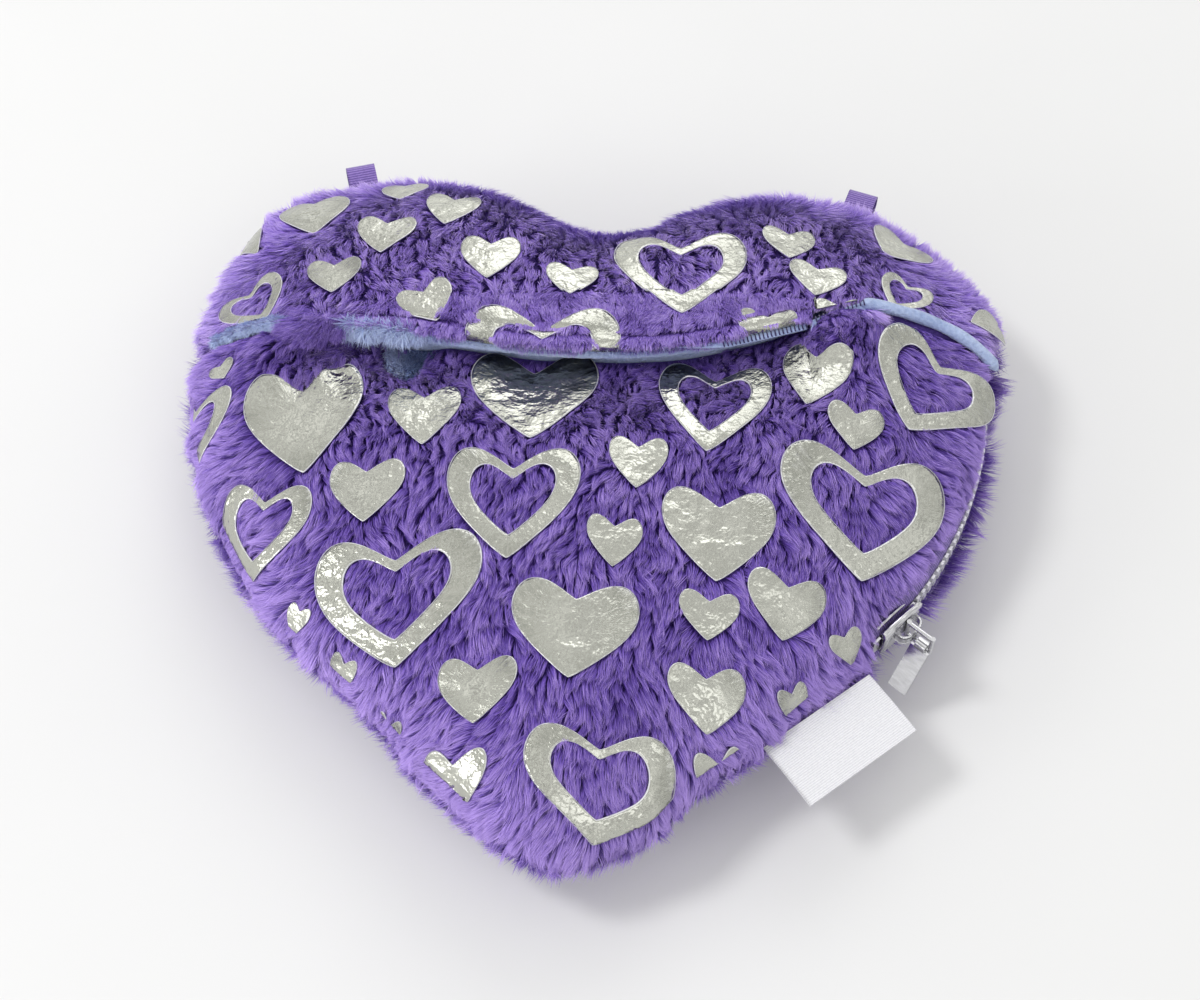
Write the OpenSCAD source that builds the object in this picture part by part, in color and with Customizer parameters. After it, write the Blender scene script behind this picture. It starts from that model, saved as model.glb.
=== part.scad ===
// Heart shaped plush purse, lying on its back with the tip towards -Y, in millimetres.
// Cloth layers are counted inwards from the outside of the fur, which is depth zero.

/* [Heart outline] */
// Radius of each of the two lobes
lobe_r = 66; // [60:0.5:72]
// Distance of each lobe's centre from the middle line
lobe_x = 66; // [60:0.5:70]
// Radius of the long curved flanks
flank_r = 140; // [130:1:155]
// Angle at which a lobe runs into its flank
flank_join = 8; // [2:1:14]
// Radius of the rounded tip
tip_r = 22; // [21:0.5:28]
// Distance from the line of the lobe centres down to the centre of the tip
tip_drop = 158; // [148:1:168]
// Radius of the hollow between the lobes
notch_r = 42; // [32:1:52]
// Distance of the highest point of the front below the lobe centres
crown_drop = 12; // [6:1:18]

/* [Padding] */
// Height of the side seam above the table
seam_z = 32; // [30:0.5:35]
// Rise of the padded front above the side seam
crown_h = 42; // [40:0.5:46]
// How far the back is pressed flat by lying on the table
back_press = 2; // [1:0.5:4]
// Depth of the fold that the front panel makes where it runs under the flap
mouth_dip = 11; // [10.5:0.25:12]
// Distance over which that fold fades out
dip_reach = 25; // [18:1:32]

/* [Cloth layers] */
// Thickness of the fur cloth with its pile laid down
fur_t = 6; // [5:0.25:6.5]
// Thickness of the wadding
wadding_t = 4.5; // [3:0.25:5]
// Thickness of the fleece lining
lining_t = 1.2; // [0.8:0.1:1.5]
// Clearance between one cloth layer and the next
cloth_gap = 0.3; // [0.2:0.05:0.5]
// Height of the inner partition above the side seam
partition_rise = 7; // [7:0.5:9]

/* [Front mouth] */
// Left end of the curved mouth, from the middle line
mouth_left_x = 112; // [104:1:116]
// Height of that left end above the highest point of the front
mouth_left_y = 1; // [-4:0.5:6]
// Right end of the curved mouth, from the middle line
mouth_right_x = 87; // [82:1:94]
// Height of that right end above the highest point of the front
mouth_right_y = 15; // [10:0.5:18]
// Height at which the mouth's seam meets the left side seam
side_left_y = 0; // [-4:0.5:6]
// Height at which the mouth's seam meets the right side seam
side_right_y = 5; // [1:0.5:10]
// How far the middle of the mouth sags towards the tip
mouth_sag = 21; // [18:0.5:24]
// Left end of the flap that lifts, from the middle line
flap_left_x = 92; // [84:1:96]
// Right end of the flap that lifts, from the middle line
flap_right_x = 68; // [62:1:72]
// How far the front panel is tucked under the flap
tuck = 3; // [2:0.5:4]
// How far the flap's hem hangs over the line of the mouth
hem_over = 1; // [0:0.5:2]
// Gap at the flap's two short ends
flap_end_gap = 1.5; // [1:0.1:2.5]
// Diameter of the fleece piping beside the flap
piping_d = 4; // [3:0.25:4.5]

/* [Zip] */
// Where the zip starts on the right flank, in degrees from +X about the flank's centre
zip_from = -44; // [-45:0.5:-40]
// Where the zip ends on the right flank
zip_to = 6; // [0:0.5:6]
// Depth of the zip behind the outline of the heart
zip_recess = 5.5; // [5:0.1:6]
// Height of the slot that the zip fills
slot_h = 13; // [12.5:0.25:13.5]
// Thickness of the zip's woven tape
tape_t = 0.8; // [0.5:0.05:1]
// Distance from one tooth to the next along a tape
tooth_pitch = 3; // [2.6:0.1:4]
// Length of one tooth along the tape
tooth_w = 1.6; // [1.2:0.1:2]
// Thickness of a tooth across the tape
tooth_t = 2.4; // [1.8:0.1:2.6]
// Free reach of a tooth past the edge of its tape
tooth_reach = 1.4; // [1:0.1:1.8]
// How far a tooth's two cheeks grip over the tape
tooth_grip = 1.4; // [1:0.1:1.8]
// Channel between the two rows, in which the slider's web runs
chain_gap = 1; // [0.9:0.1:1.6]
// Length of the slider
slider_l = 19; // [15:0.5:22]
// Height of the slider across the zip
slider_h = 11; // [10:0.25:11.5]
// Thickness of the slider's two plates
plate_t = 1.2; // [1:0.1:1.5]
// Thickness of the slider's web between the two rows
web_t = 0.6; // [0.4:0.05:0.7]
// Clearance inside the slider
slider_gap = 0.35; // [0.25:0.05:0.5]

/* [Zip pull] */
// Length of the arch on the slider that carries the pull
arch_l = 9; // [8:0.25:11]
// Height of that arch
arch_h = 4.6; // [4.4:0.1:5.5]
// Width of the arch
arch_w = 3; // [2.5:0.1:3.5]
// Thickness of the wire of the pull's link
wire_d = 1.6; // [1.4:0.1:1.8]
// Length of the link between its two bars
link_l = 9; // [8:0.25:11]
// Width of the link between its two sides
link_w = 6.5; // [6:0.1:7.5]
// Angle of the resting link away from straight out
link_rest = 0; // [-10:1:10]
// Length of the flat pull tab below its eye
tab_l = 17; // [14:0.5:20]
// Width of the flat pull tab
tab_w = 6.5; // [6:0.1:7]
// Thickness of the flat pull tab
tab_t = 1.4; // [1.2:0.1:1.8]
// Angle at which the resting tab leans away from straight down
tab_rest = 30; // [10:1:40]
// Play of the pull's wire in the holes that carry it
wire_gap = 0.3; // [0.2:0.05:0.4]

/* [Strap loops and label] */
// Place of each strap loop on its lobe, in degrees from +X
loop_angle = 73; // [68:1:82]
// Width of the ribbon
loop_w = 10; // [8:0.5:12]
// Thickness of the ribbon
loop_t = 1; // [0.8:0.1:1.2]
// How far a loop stands out from the seam
loop_reach = 13; // [12:0.5:16]
// Outer height of a loop
loop_h = 8.4; // [8:0.1:9]
// Angle by which the left loop stands up
loop_tilt = 15; // [0:1:18]
// Length of the care label along the seam
label_w = 41; // [34:1:44]
// How far the care label stands out from the seam
label_reach = 22; // [18:0.5:26]
// Thickness of the doubled label
label_t = 0.8; // [0.5:0.1:1]
// Distance of the label's upper corner below the end of the flank
label_start = -8; // [-9:0.5:6]
// Angle by which the label droops
label_droop = 5; // [0:1:12]

/* [Foil hearts] */
// Width of the largest foil heart
foil_w = 54; // [50:0.5:56]
// Thickness of the foil print
foil_t = 0.5; // [0.3:0.05:0.6]

/* [Hidden] */
$fn = 96;
overrun = 5;

// Depths of the cloth layers
wadding_in = fur_t + cloth_gap;
lining_in = wadding_in + wadding_t + cloth_gap;
inside = lining_in + lining_t;
seam_gap = cloth_gap / 2;
belly_h = seam_z + back_press;
foil_out = -cloth_gap - foil_t;

// The outline is tangent arcs: tip, straight side, flank, lobe and hollow, mirrored about X = 0.
// Loops and tip stand equally far from the origin along Y.
loop_rise = (lobe_r + cloth_gap + loop_reach) * sin(loop_angle) + loop_w / 2 * cos(loop_angle);
lobe_y = (tip_drop + tip_r - loop_rise) / 2;
lobe_c = [lobe_x, lobe_y];
join_n = [cos(flank_join), sin(flank_join)];
flank_c = lobe_c - (flank_r - lobe_r) * join_n;
tip_c = [0, lobe_y - tip_drop];
side_v = flank_c - tip_c;
side_a = atan2(side_v.y, side_v.x) - acos((tip_r - flank_r) / norm(side_v));
side_n = [cos(side_a), sin(side_a)];
notch_c = [0, lobe_y + sqrt(pow(lobe_r + notch_r, 2) - lobe_x * lobe_x)];
notch_n = (notch_c - lobe_c) / (lobe_r + notch_r);
crown_c = [0, lobe_y - crown_drop];
wide = lobe_x + lobe_r;

// The front panel's own grid is centred lower down, so that all of its edge is in sight from there
patch_c = [0, lobe_y - lobe_r - crown_drop];

crown_power = 2.2;
belly_power = 3.5;
mouth_power = 1.3;
// How much more the mouth sags to the right of its middle than to the left
mouth_skew_share = 0.5;
rim_fade_power = 8;
squeeze_share = 0.35;
ring_steps = 72;
rise_steps = 6;
patch_rise_steps = 7;
mouth_steps = 28;
side_steps = 44;
strip_steps = 24;
halvings = 24;

// Distance from a centre to a circle along a direction, on its far or near side
function to_circle(c, q, r, d, side) =
    let (v = q - c, along = v * d, off = v - along * d)
    along + side * sqrt(max(0, r * r - off * off));

function bearing(c, p) = atan2(p.y - c.y, p.x - c.x);

// Distance from a centre to the outline, moved inwards by a depth, on the right-hand half
function rim_right(c, a, t) =
    let (d = [cos(a), sin(a)])
    a < bearing(c, tip_c + (tip_r - t) * side_n) ? to_circle(c, tip_c, tip_r - t, d, 1)
    : a < bearing(c, flank_c + (flank_r - t) * side_n)
        ? ((tip_c + (tip_r - t) * side_n - c) * side_n) / (d * side_n)
    : a < bearing(c, lobe_c + (lobe_r - t) * join_n) ? to_circle(c, flank_c, flank_r - t, d, 1)
    : a < bearing(c, lobe_c + (lobe_r - t) * notch_n) ? to_circle(c, lobe_c, lobe_r - t, d, 1)
    : to_circle(c, notch_c, notch_r + t, d, -1);

function wrapped(a) = a > 270 ? wrapped(a - 360) : a <= -90 ? wrapped(a + 360) : a;
function rim(c, a, t) = let (b = wrapped(a)) rim_right(c, b > 90 ? 180 - b : b, t);
function on_ray(c, a, r) = c + r * [cos(a), sin(a)];

// Height of the padded front and back at a place, at a depth
function share(p, t) =
    min(1, norm(p - crown_c) / rim(crown_c, bearing(crown_c, p), t));
function front_z(p, t) =
    seam_z + seam_gap + (crown_h - seam_gap - t) * sqrt(max(0, 1 - pow(share(p, t), crown_power)));
function back_z(p, t) =
    max(t, seam_z - seam_gap
        - (belly_h - seam_gap - t) * sqrt(max(0, 1 - pow(share(p, t), belly_power))));

// The mouth: a sagging curve between its two ends, then straight to the side seams
function along_line(x, x0, y0, x1, y1) = y0 + (y1 - y0) * (x - x0) / (x1 - x0);
function chord_y(x) =
    crown_c.y + along_line(x, -mouth_left_x, mouth_left_y, mouth_right_x, mouth_right_y);
function mouth_u(x) = (2 * x + mouth_left_x - mouth_right_x) / (mouth_left_x + mouth_right_x);
function mouth_y(x) =
    x < -mouth_left_x
        ? crown_c.y + along_line(x, -wide, side_left_y, -mouth_left_x, mouth_left_y)
    : x > mouth_right_x
        ? crown_c.y + along_line(x, mouth_right_x, mouth_right_y, wide, side_right_y)
    : chord_y(x) - mouth_sag * (1 + mouth_skew_share * mouth_u(x))
        * pow(max(0, 1 - pow(mouth_u(x), 2)), mouth_power);

// 1 between the flap's ends, fading to 0 over a distance past them
function by_flap(x, fade) =
    max(0, min(1, 1 - (-flap_left_x - x) / fade, 1 - (x - flap_right_x) / fade));

// The piping's channel beyond the flap, and the panel's edge, tucked in under the flap
channel = piping_d / 2 + cloth_gap;
function panel_edge_y(x) =
    mouth_y(x) - channel + (tuck + channel) * by_flap(x + sign(x) * piping_d, piping_d);
function dip(p) =
    let (off = max(0, mouth_y(p.x) + tuck - p.y) / dip_reach)
    mouth_dip * exp(-off * off) * by_flap(p.x, dip_reach / 2) * (1 - pow(share(p, 0), rim_fade_power));
// The wadding under the fold is squeezed, so the inner layers dip less
function panel_z(p, t) = front_z(p, t) - dip(p) * (1 - squeeze_share * max(0, t) / inside);

// Distance from the patch's centre to the mouth's edge along a ray, by halving
function to_mouth(a, more, low, high, n) =
    n == 0 ? (low + high) / 2
    : let (mid = (low + high) / 2, p = on_ray(patch_c, a, mid))
        p.y > panel_edge_y(p.x) + more ? to_mouth(a, more, low, mid, n - 1)
        : to_mouth(a, more, mid, high, n - 1);
function patch_edge(a, t, more) =
    sin(a) <= 0 ? rim(patch_c, a, t)
    : min(rim(patch_c, a, t), to_mouth(a, more, 0, wide * 2, halvings));

// Bearing of the corner where the mouth's edge meets the outline, on the right or, with side -1,
// on the left, measured up from the horizontal on that side
function corner(side, low, high, n) =
    n == 0 ? (low + high) / 2
    : let (
        mid = (low + high) / 2,
        r = rim(patch_c, mid, 0),
        p = patch_c + r * [side * cos(mid), sin(mid)]
    )
        p.y > panel_edge_y(p.x) ? corner(side, low, mid, n - 1) : corner(side, mid, high, n - 1);
right_corner = corner(1, 0, 90, halvings);
left_corner = 180 - corner(-1, 0, 90, halvings);
patch_angles = concat(
    [for (i = [0:mouth_steps - 1]) right_corner + (left_corner - right_corner) * i / mouth_steps],
    [for (i = [0:side_steps - 1])
        left_corner + (360 + right_corner - left_corner) * i / side_steps]
);

function rise_share(k, steps) = sin(90 * k / steps);

// Faces of a closed shell: an outer and an inner grid of rings, joined along their last ring
function grid_faces(n, steps, flip) =
    let (
        inner = 1 + n * steps,
        at = function(s, k, i) s * inner + (k == 0 ? 0 : 1 + (k - 1) * n + i % n),
        faces = concat(
            [for (i = [0:n - 1]) each [
                [at(0, 0, 0), at(0, 1, i + 1), at(0, 1, i)],
                [at(1, 0, 0), at(1, 1, i), at(1, 1, i + 1)],
                [at(1, steps, i), at(0, steps, i), at(0, steps, i + 1)],
                [at(1, steps, i), at(0, steps, i + 1), at(1, steps, i + 1)]
            ]],
            [for (k = [1:steps - 1], i = [0:n - 1]) each [
                [at(0, k, i), at(0, k, i + 1), at(0, k + 1, i + 1)],
                [at(0, k, i), at(0, k + 1, i + 1), at(0, k + 1, i)],
                [at(1, k, i), at(1, k + 1, i + 1), at(1, k, i + 1)],
                [at(1, k, i), at(1, k + 1, i), at(1, k + 1, i + 1)]
            ]]
        )
    )
    flip ? [for (f = faces) [f[2], f[1], f[0]]] : faces;

function ring_points(t, height) = concat(
    [[crown_c.x, crown_c.y, height(crown_c, t)]],
    [for (k = [1:rise_steps], i = [0:ring_steps - 1])
        let (a = 360 * i / ring_steps,
            p = on_ray(crown_c, a, rise_share(k, rise_steps) * rim(crown_c, a, t)))
        [p.x, p.y, height(p, t)]]
);

// A layer of the padded front or back between two depths, over the whole heart
module front_layer(t0, t1) {
    polyhedron(
        points = concat(
            ring_points(t0, function(p, t) front_z(p, t)),
            ring_points(t1, function(p, t) front_z(p, t))
        ),
        faces = grid_faces(ring_steps, rise_steps, false)
    );
}
module back_layer(t0, t1) {
    polyhedron(
        points = concat(
            ring_points(t0, function(p, t) back_z(p, t)),
            ring_points(t1, function(p, t) back_z(p, t))
        ),
        faces = grid_faces(ring_steps, rise_steps, true)
    );
}

// A layer of the front below the mouth, between two depths
function patch_points(t, more) = concat(
    [[patch_c.x, patch_c.y, panel_z(patch_c, t)]],
    [for (k = [1:patch_rise_steps], a = patch_angles)
        let (p = on_ray(patch_c, a, rise_share(k, patch_rise_steps) * patch_edge(a, t, more)))
        [p.x, p.y, panel_z(p, t)]]
);
module panel_layer(t0, t1, more) {
    polyhedron(
        points = concat(patch_points(t0, more), patch_points(t1, more)),
        faces = grid_faces(mouth_steps + side_steps, patch_rise_steps, false)
    );
}

// Plan shapes that cut the upper layers: above the mouth and the fold line, and the flap itself
tall = seam_z + crown_h;
strip_xs = [for (i = [0:strip_steps]) -flap_left_x + (flap_left_x + flap_right_x) * i / strip_steps];
module prism(outline) {
    translate([0, 0, -overrun]) linear_extrude(tall + 2 * overrun) polygon(outline);
}
function curve(x0, x1, off) =
    [for (i = [0:strip_steps]) let (x = x0 + (x1 - x0) * i / strip_steps) [x, mouth_y(x) + off]];
module above_fold(off) {
    prism(concat(
        curve(-wide - overrun, -flap_left_x - flap_end_gap, channel),
        [[-flap_left_x - flap_end_gap, chord_y(-flap_left_x) + off],
            [flap_right_x + flap_end_gap, chord_y(flap_right_x) + off]],
        curve(flap_right_x + flap_end_gap, wide + overrun, channel),
        [[wide + overrun, wide * 2], [-wide - overrun, wide * 2]]
    ));
}
module flap_area(low, high) {
    prism(concat(
        curve(-flap_left_x, flap_right_x, low),
        [[flap_right_x, chord_y(flap_right_x) + high], [-flap_left_x, chord_y(-flap_left_x) + high]]
    ));
}

// The slot on the right flank, concentric with it, runs one tooth past the ends of the zip
slot_depth = inside + overrun * 3;
slot_margin = atan2(tooth_pitch, flank_r);
module zip_slot() {
    translate([flank_c.x, flank_c.y, seam_z - slot_h / 2])
        rotate([0, 0, zip_from - slot_margin])
            rotate_extrude(angle = zip_to - zip_from + slot_margin * 2)
                translate([flank_r - slot_depth, 0])
                    square([slot_depth + overrun, slot_h]);
}

module back_panel() {
    color([0.34, 0.27, 0.56]) difference() {
        back_layer(0, fur_t);
        zip_slot();
    }
}
module front_panel() {
    color([0.36, 0.28, 0.58]) difference() {
        panel_layer(0, fur_t, 0);
        zip_slot();
    }
}
module yoke_panel() {
    color([0.31, 0.23, 0.53]) difference() {
        intersection() {
            front_layer(0, fur_t);
            above_fold(seam_gap);
        }
        zip_slot();
    }
}
module front_flap() {
    color([0.33, 0.25, 0.56]) intersection() {
        front_layer(0, fur_t);
        flap_area(-hem_over, -seam_gap);
    }
}

module back_wadding() {
    color([0.95, 0.95, 0.93]) difference() {
        back_layer(wadding_in, wadding_in + wadding_t);
        zip_slot();
    }
}
module front_wadding() {
    color([0.95, 0.95, 0.93]) difference() {
        panel_layer(wadding_in, wadding_in + wadding_t, 0);
        zip_slot();
    }
}
module yoke_wadding() {
    color([0.93, 0.93, 0.95]) difference() {
        intersection() {
            front_layer(wadding_in, wadding_in + wadding_t);
            above_fold(seam_gap);
        }
        zip_slot();
    }
}

module back_lining() {
    color([0.6, 0.74, 0.9]) difference() {
        back_layer(lining_in, inside);
        zip_slot();
    }
}
module pocket_lining_front() {
    color([0.6, 0.74, 0.9]) difference() {
        panel_layer(lining_in, inside, 0);
        zip_slot();
    }
}
module yoke_lining() {
    color([0.58, 0.72, 0.88]) difference() {
        intersection() {
            front_layer(lining_in, inside);
            above_fold(seam_gap);
        }
        zip_slot();
    }
}
module flap_lining() {
    color([0.62, 0.76, 0.91]) intersection() {
        front_layer(wadding_in, wadding_in + lining_t);
        flap_area(-hem_over + lining_t, -lining_t);
    }
}

// Two flat sheets part the main compartment from the front pocket, and end at the front's lining
function partition_inset(z) =
    inside + cloth_gap * 5 + wide * (1 - pow(1 - pow(z / (crown_h - inside), 2), 1 / crown_power));
module partition(z) {
    inset = partition_inset(z + lining_t);
    translate([0, 0, seam_z + z])
        linear_extrude(lining_t)
            polygon([for (i = [0:ring_steps - 1])
                let (a = 360 * i / ring_steps) on_ray(crown_c, a, rim(crown_c, a, inset))]);
}
module main_partition() {
    color([0.55, 0.7, 0.87]) partition(partition_rise);
}
module pocket_partition() {
    color([0.6, 0.75, 0.9]) partition(partition_rise + lining_t + cloth_gap);
}

// Fleece that hems the two edges of the pocket's mouth
module yoke_facing() {
    color([0.45, 0.6, 0.78]) intersection() {
        front_layer(wadding_in + lining_t + cloth_gap, inside + fur_t);
        prism([
            [-flap_left_x + flap_end_gap, chord_y(-flap_left_x) - seam_gap],
            [flap_right_x - flap_end_gap, chord_y(flap_right_x) - seam_gap],
            [flap_right_x - flap_end_gap, chord_y(flap_right_x) - seam_gap - lining_t],
            [-flap_left_x + flap_end_gap, chord_y(-flap_left_x) - seam_gap - lining_t]
        ]);
    }
}
module panel_binding() {
    color([0.55, 0.7, 0.87]) intersection() {
        panel_layer(cloth_gap, inside, cloth_gap + lining_t);
        prism(concat(
            [for (x = strip_xs) if (x > piping_d * 2 - flap_left_x && x < flap_right_x - piping_d * 2)
                [x, panel_edge_y(x) + cloth_gap]],
            [[flap_right_x - piping_d * 2, wide], [piping_d * 2 - flap_left_x, wide]]
        ));
    }
}

// Piping: a round tube swept along the mouth's line, resting at a depth under the fur's surface
tube_sides = 8;
function unit(v) = v / norm(v);
function tube_ring(p, along, r) =
    let (across = unit(cross(along, [0, 0, 1])), up = cross(across, along))
    [for (j = [0:tube_sides - 1])
        p + r * (cos(360 * j / tube_sides) * across + sin(360 * j / tube_sides) * up)];
module tube(path, d) {
    n = len(path);
    rings = [for (i = [0:n - 1])
        each tube_ring(path[i], unit(path[min(n - 1, i + 1)] - path[max(0, i - 1)]), d / 2)];
    at = function(i, j) i * tube_sides + j % tube_sides;
    polyhedron(
        points = rings,
        faces = concat(
            [[for (j = [0:tube_sides - 1]) tube_sides - 1 - j]],
            [[for (j = [0:tube_sides - 1]) at(n - 1, j)]],
            [for (i = [0:n - 2], j = [0:tube_sides - 1]) each [
                [at(i, j), at(i + 1, j + 1), at(i + 1, j)],
                [at(i, j), at(i, j + 1), at(i + 1, j + 1)]
            ]]
        )
    );
}
function mouth_path(x0, x1, steps, off, t) =
    [for (i = [0:steps])
        let (x = x0 + (x1 - x0) * i / steps, p = [x, mouth_y(x) + off])
        [p.x, p.y, front_z(p, t)]];

// The flap's piping is half as thick and runs under the hem's front edge
hem_piping_d = piping_d / 2;
hem_depth = fur_t + cloth_gap * 3 + hem_piping_d / 2;
hem_steps = 30;
side_piping_steps = 8;
module flap_piping() {
    color([0.62, 0.76, 0.91]) tube(
        mouth_path(-flap_left_x + hem_piping_d, flap_right_x - hem_piping_d, hem_steps,
            -hem_over + lining_t - cloth_gap - hem_piping_d / 2, hem_depth),
        hem_piping_d
    );
}
function rim_x(side) =
    side * (wide - channel - piping_d * 2);
module yoke_piping() {
    color([0.62, 0.76, 0.91]) {
        tube(mouth_path(rim_x(-1), -flap_left_x - flap_end_gap - piping_d, side_piping_steps, 0, channel),
            piping_d);
        tube(mouth_path(flap_right_x + flap_end_gap + piping_d, rim_x(1), side_piping_steps * 2, 0,
            channel), piping_d);
    }
}

// The zip: everything on it is turned about the flank's centre
zip_r = flank_r - zip_recess;
tape_edge = chain_gap / 2 + tooth_reach;
module on_zip(a0, a1) {
    translate([flank_c.x, flank_c.y, seam_z])
        rotate([0, 0, a0])
            rotate_extrude(angle = a1 - a0)
                children();
}
function zip_angle(length) = length / zip_r * 180 / PI;

module tape_profile() {
    translate([zip_r - tape_t / 2, tape_edge]) square([tape_t, slot_h / 2 - tape_edge]);
}
// A clamp that grips a tape's edge: its free end reaches down to a height, its cheeks grip upwards
module clamp_profile(low, high, t) {
    difference() {
        translate([zip_r - t / 2, low]) square([t, high - low]);
        tape_profile();
    }
}
module zip_tape_front() {
    color([0.46, 0.4, 0.68]) on_zip(zip_from, zip_to) tape_profile();
}
module zip_tape_back() {
    color([0.46, 0.4, 0.68]) on_zip(zip_from, zip_to) mirror([0, 1]) tape_profile();
}

stop_l = tooth_w * 2;
first_tooth = zip_from + zip_angle(stop_l + tooth_pitch);
tooth_count = floor((zip_to - zip_angle(stop_l + tooth_pitch) - first_tooth) / zip_angle(tooth_pitch));
module teeth(offset_share) {
    for (i = [0:tooth_count - 1]) {
        a = first_tooth + zip_angle(tooth_pitch) * (i + offset_share);
        on_zip(a, a + zip_angle(tooth_w))
            clamp_profile(chain_gap / 2, tape_edge + tooth_grip, tooth_t);
    }
}
module zip_teeth_front() {
    color([0.75, 0.75, 0.76]) teeth(0);
}
module zip_teeth_back() {
    color([0.75, 0.75, 0.76]) translate([0, 0, 2 * seam_z]) mirror([0, 0, 1]) teeth(0.5);
}
module zip_top_stops() {
    top_from = zip_to - zip_angle(stop_l);
    color([0.78, 0.78, 0.8]) {
        on_zip(top_from, zip_to)
            clamp_profile(chain_gap / 2, tape_edge + tooth_grip, tooth_t);
        on_zip(top_from, zip_to) mirror([0, 1])
            clamp_profile(chain_gap / 2, tape_edge + tooth_grip, tooth_t);
    }
}
module zip_bottom_stop() {
    color([0.78, 0.78, 0.8]) on_zip(zip_from, zip_from + zip_angle(stop_l)) difference() {
        translate([zip_r - tooth_t / 2, -tape_edge - tooth_grip])
            square([tooth_t, 2 * (tape_edge + tooth_grip)]);
        tape_profile();
        mirror([0, 1]) tape_profile();
    }
}

// The slider rests against the bottom stop. Its plates lie inside and outside the chain.
slider_from = zip_from + zip_angle(stop_l + slider_gap);
slider_mid = slider_from + zip_angle(slider_l / 2);
plate_r = tooth_t / 2 + slider_gap;
web_l = slider_l / 3;
lip_z = tape_edge + tooth_grip + slider_gap;
module slider_half(turned) {
    mirror([turned, 0]) {
        translate([plate_r, -slider_h / 2]) square([plate_t, slider_h]);
        for (m = [0, 1]) mirror([0, m])
            translate([tape_t / 2 + slider_gap, lip_z])
                square([plate_r + plate_t - tape_t / 2 - slider_gap, slider_h / 2 - lip_z]);
    }
}
// The arch stands on the outer plate along the travel, so that the pull's link turns on an
// upright bar under it
bar_r = zip_r + plate_r + plate_t + wire_gap + wire_d / 2;
arch_leg = (arch_l - wire_d - 2 * wire_gap) / 3;
module arch() {
    translate([flank_c.x, flank_c.y, seam_z])
        rotate([0, 0, slider_mid])
            translate([zip_r + plate_r + plate_t / 2, 0, 0])
                rotate([90, 0, 90])
                    difference() {
                        linear_extrude(arch_h + plate_t / 2)
                            square([arch_l, arch_w], center = true);
                        translate([0, 0, plate_t / 2 + wire_gap + wire_d / 2])
                            cube([arch_l - 2 * arch_leg, arch_w + overrun, wire_d + 2 * wire_gap],
                                center = true);
                    }
}
module zip_slider() {
    color([0.82, 0.82, 0.84]) {
        on_zip(slider_from, slider_from + zip_angle(slider_l)) translate([zip_r, 0]) slider_half(0);
        on_zip(slider_from, slider_from + zip_angle(slider_l)) translate([zip_r, 0]) slider_half(1);
        on_zip(slider_from, slider_from + zip_angle(web_l))
            translate([zip_r - plate_r - plate_t / 2, -web_t / 2])
                square([2 * plate_r + plate_t, web_t]);
        arch();
    }
}

// The pull's link: a wire rectangle, upright at the slider, level where it carries the tab
module at_bar() {
    translate([flank_c.x, flank_c.y, seam_z])
        rotate([0, 0, slider_mid])
            translate([bar_r, 0, 0])
                rotate([0, 0, link_rest])
                    children();
}
side_h = link_w + wire_d;
module pull_link() {
    color([0.8, 0.8, 0.82]) at_bar() {
        cylinder(h = side_h, d = wire_d, center = true);
        translate([link_l, 0, 0]) cylinder(h = side_h, d = wire_d, center = true);
        for (m = [-1, 1])
            translate([0, 0, m * link_w / 2]) {
                rotate([0, 90, 0]) cylinder(h = link_l, d = wire_d);
            }
        for (x = [0, link_l], m = [-1, 1])
            translate([x, 0, m * link_w / 2]) sphere(d = wire_d);
    }
}
// The tab hangs by an eye from the link's lower side, next to its outer bar
eye_r = wire_d / 2 + wire_gap;
eye_wall = tab_t * 2 / 3;
eye_l = link_l * 2 / 5;
eye_at = link_l - wire_d / 2 - wire_gap - eye_l / 2;
module pull_tab() {
    color([0.84, 0.84, 0.86]) at_bar()
        translate([eye_at, 0, -link_w / 2])
            rotate([-tab_rest, 0, 0]) {
                rotate([0, 90, 0]) difference() {
                    cylinder(h = eye_l, r = eye_r + eye_wall, center = true);
                    cylinder(h = eye_l + overrun, r = eye_r, center = true);
                }
                translate([-tab_w / 2, -tab_t / 2, -eye_r - eye_wall / 2 - tab_l])
                    cube([tab_w, tab_t, tab_l]);
            }
}

// Ribbon loops at the lobes, each a flattened ring with its bore across the ribbon's width
module strap_loop(side, tilt) {
    mirror([side < 0 ? 1 : 0, 0, 0])
        translate([lobe_c.x, lobe_c.y, seam_z])
            rotate([0, 0, loop_angle])
                translate([lobe_r + cloth_gap, 0, 0])
                    rotate([0, -tilt, 0])
                        translate([0, loop_w / 2, 0])
                            rotate([90, 0, 0])
                                difference() {
                                    loop_body(loop_w, loop_t, loop_t, loop_h);
                                    translate([0, 0, -overrun])
                                        loop_body(loop_w + 2 * overrun, loop_t * 3, loop_t / 4,
                                            loop_h - 2 * loop_t);
                                }
}
// The ribbon's two ends meet in a round foot, about which the loop folds
module loop_body(w, start_x, foot_r, h) {
    end_x = loop_reach - loop_h / 2;
    flare_x = start_x + h / 3;
    linear_extrude(w) {
        translate([end_x, 0]) circle(d = h);
        translate([start_x, 0]) circle(r = foot_r);
        polygon([
            [start_x, -foot_r], [flare_x, -h / 2], [end_x, -h / 2],
            [end_x, h / 2], [flare_x, h / 2], [start_x, foot_r]
        ]);
    }
}
module strap_loop_left() {
    color([0.42, 0.32, 0.66]) strap_loop(-1, loop_tilt);
}
module strap_loop_right() {
    color([0.42, 0.32, 0.66]) strap_loop(1, 0);
}

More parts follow.
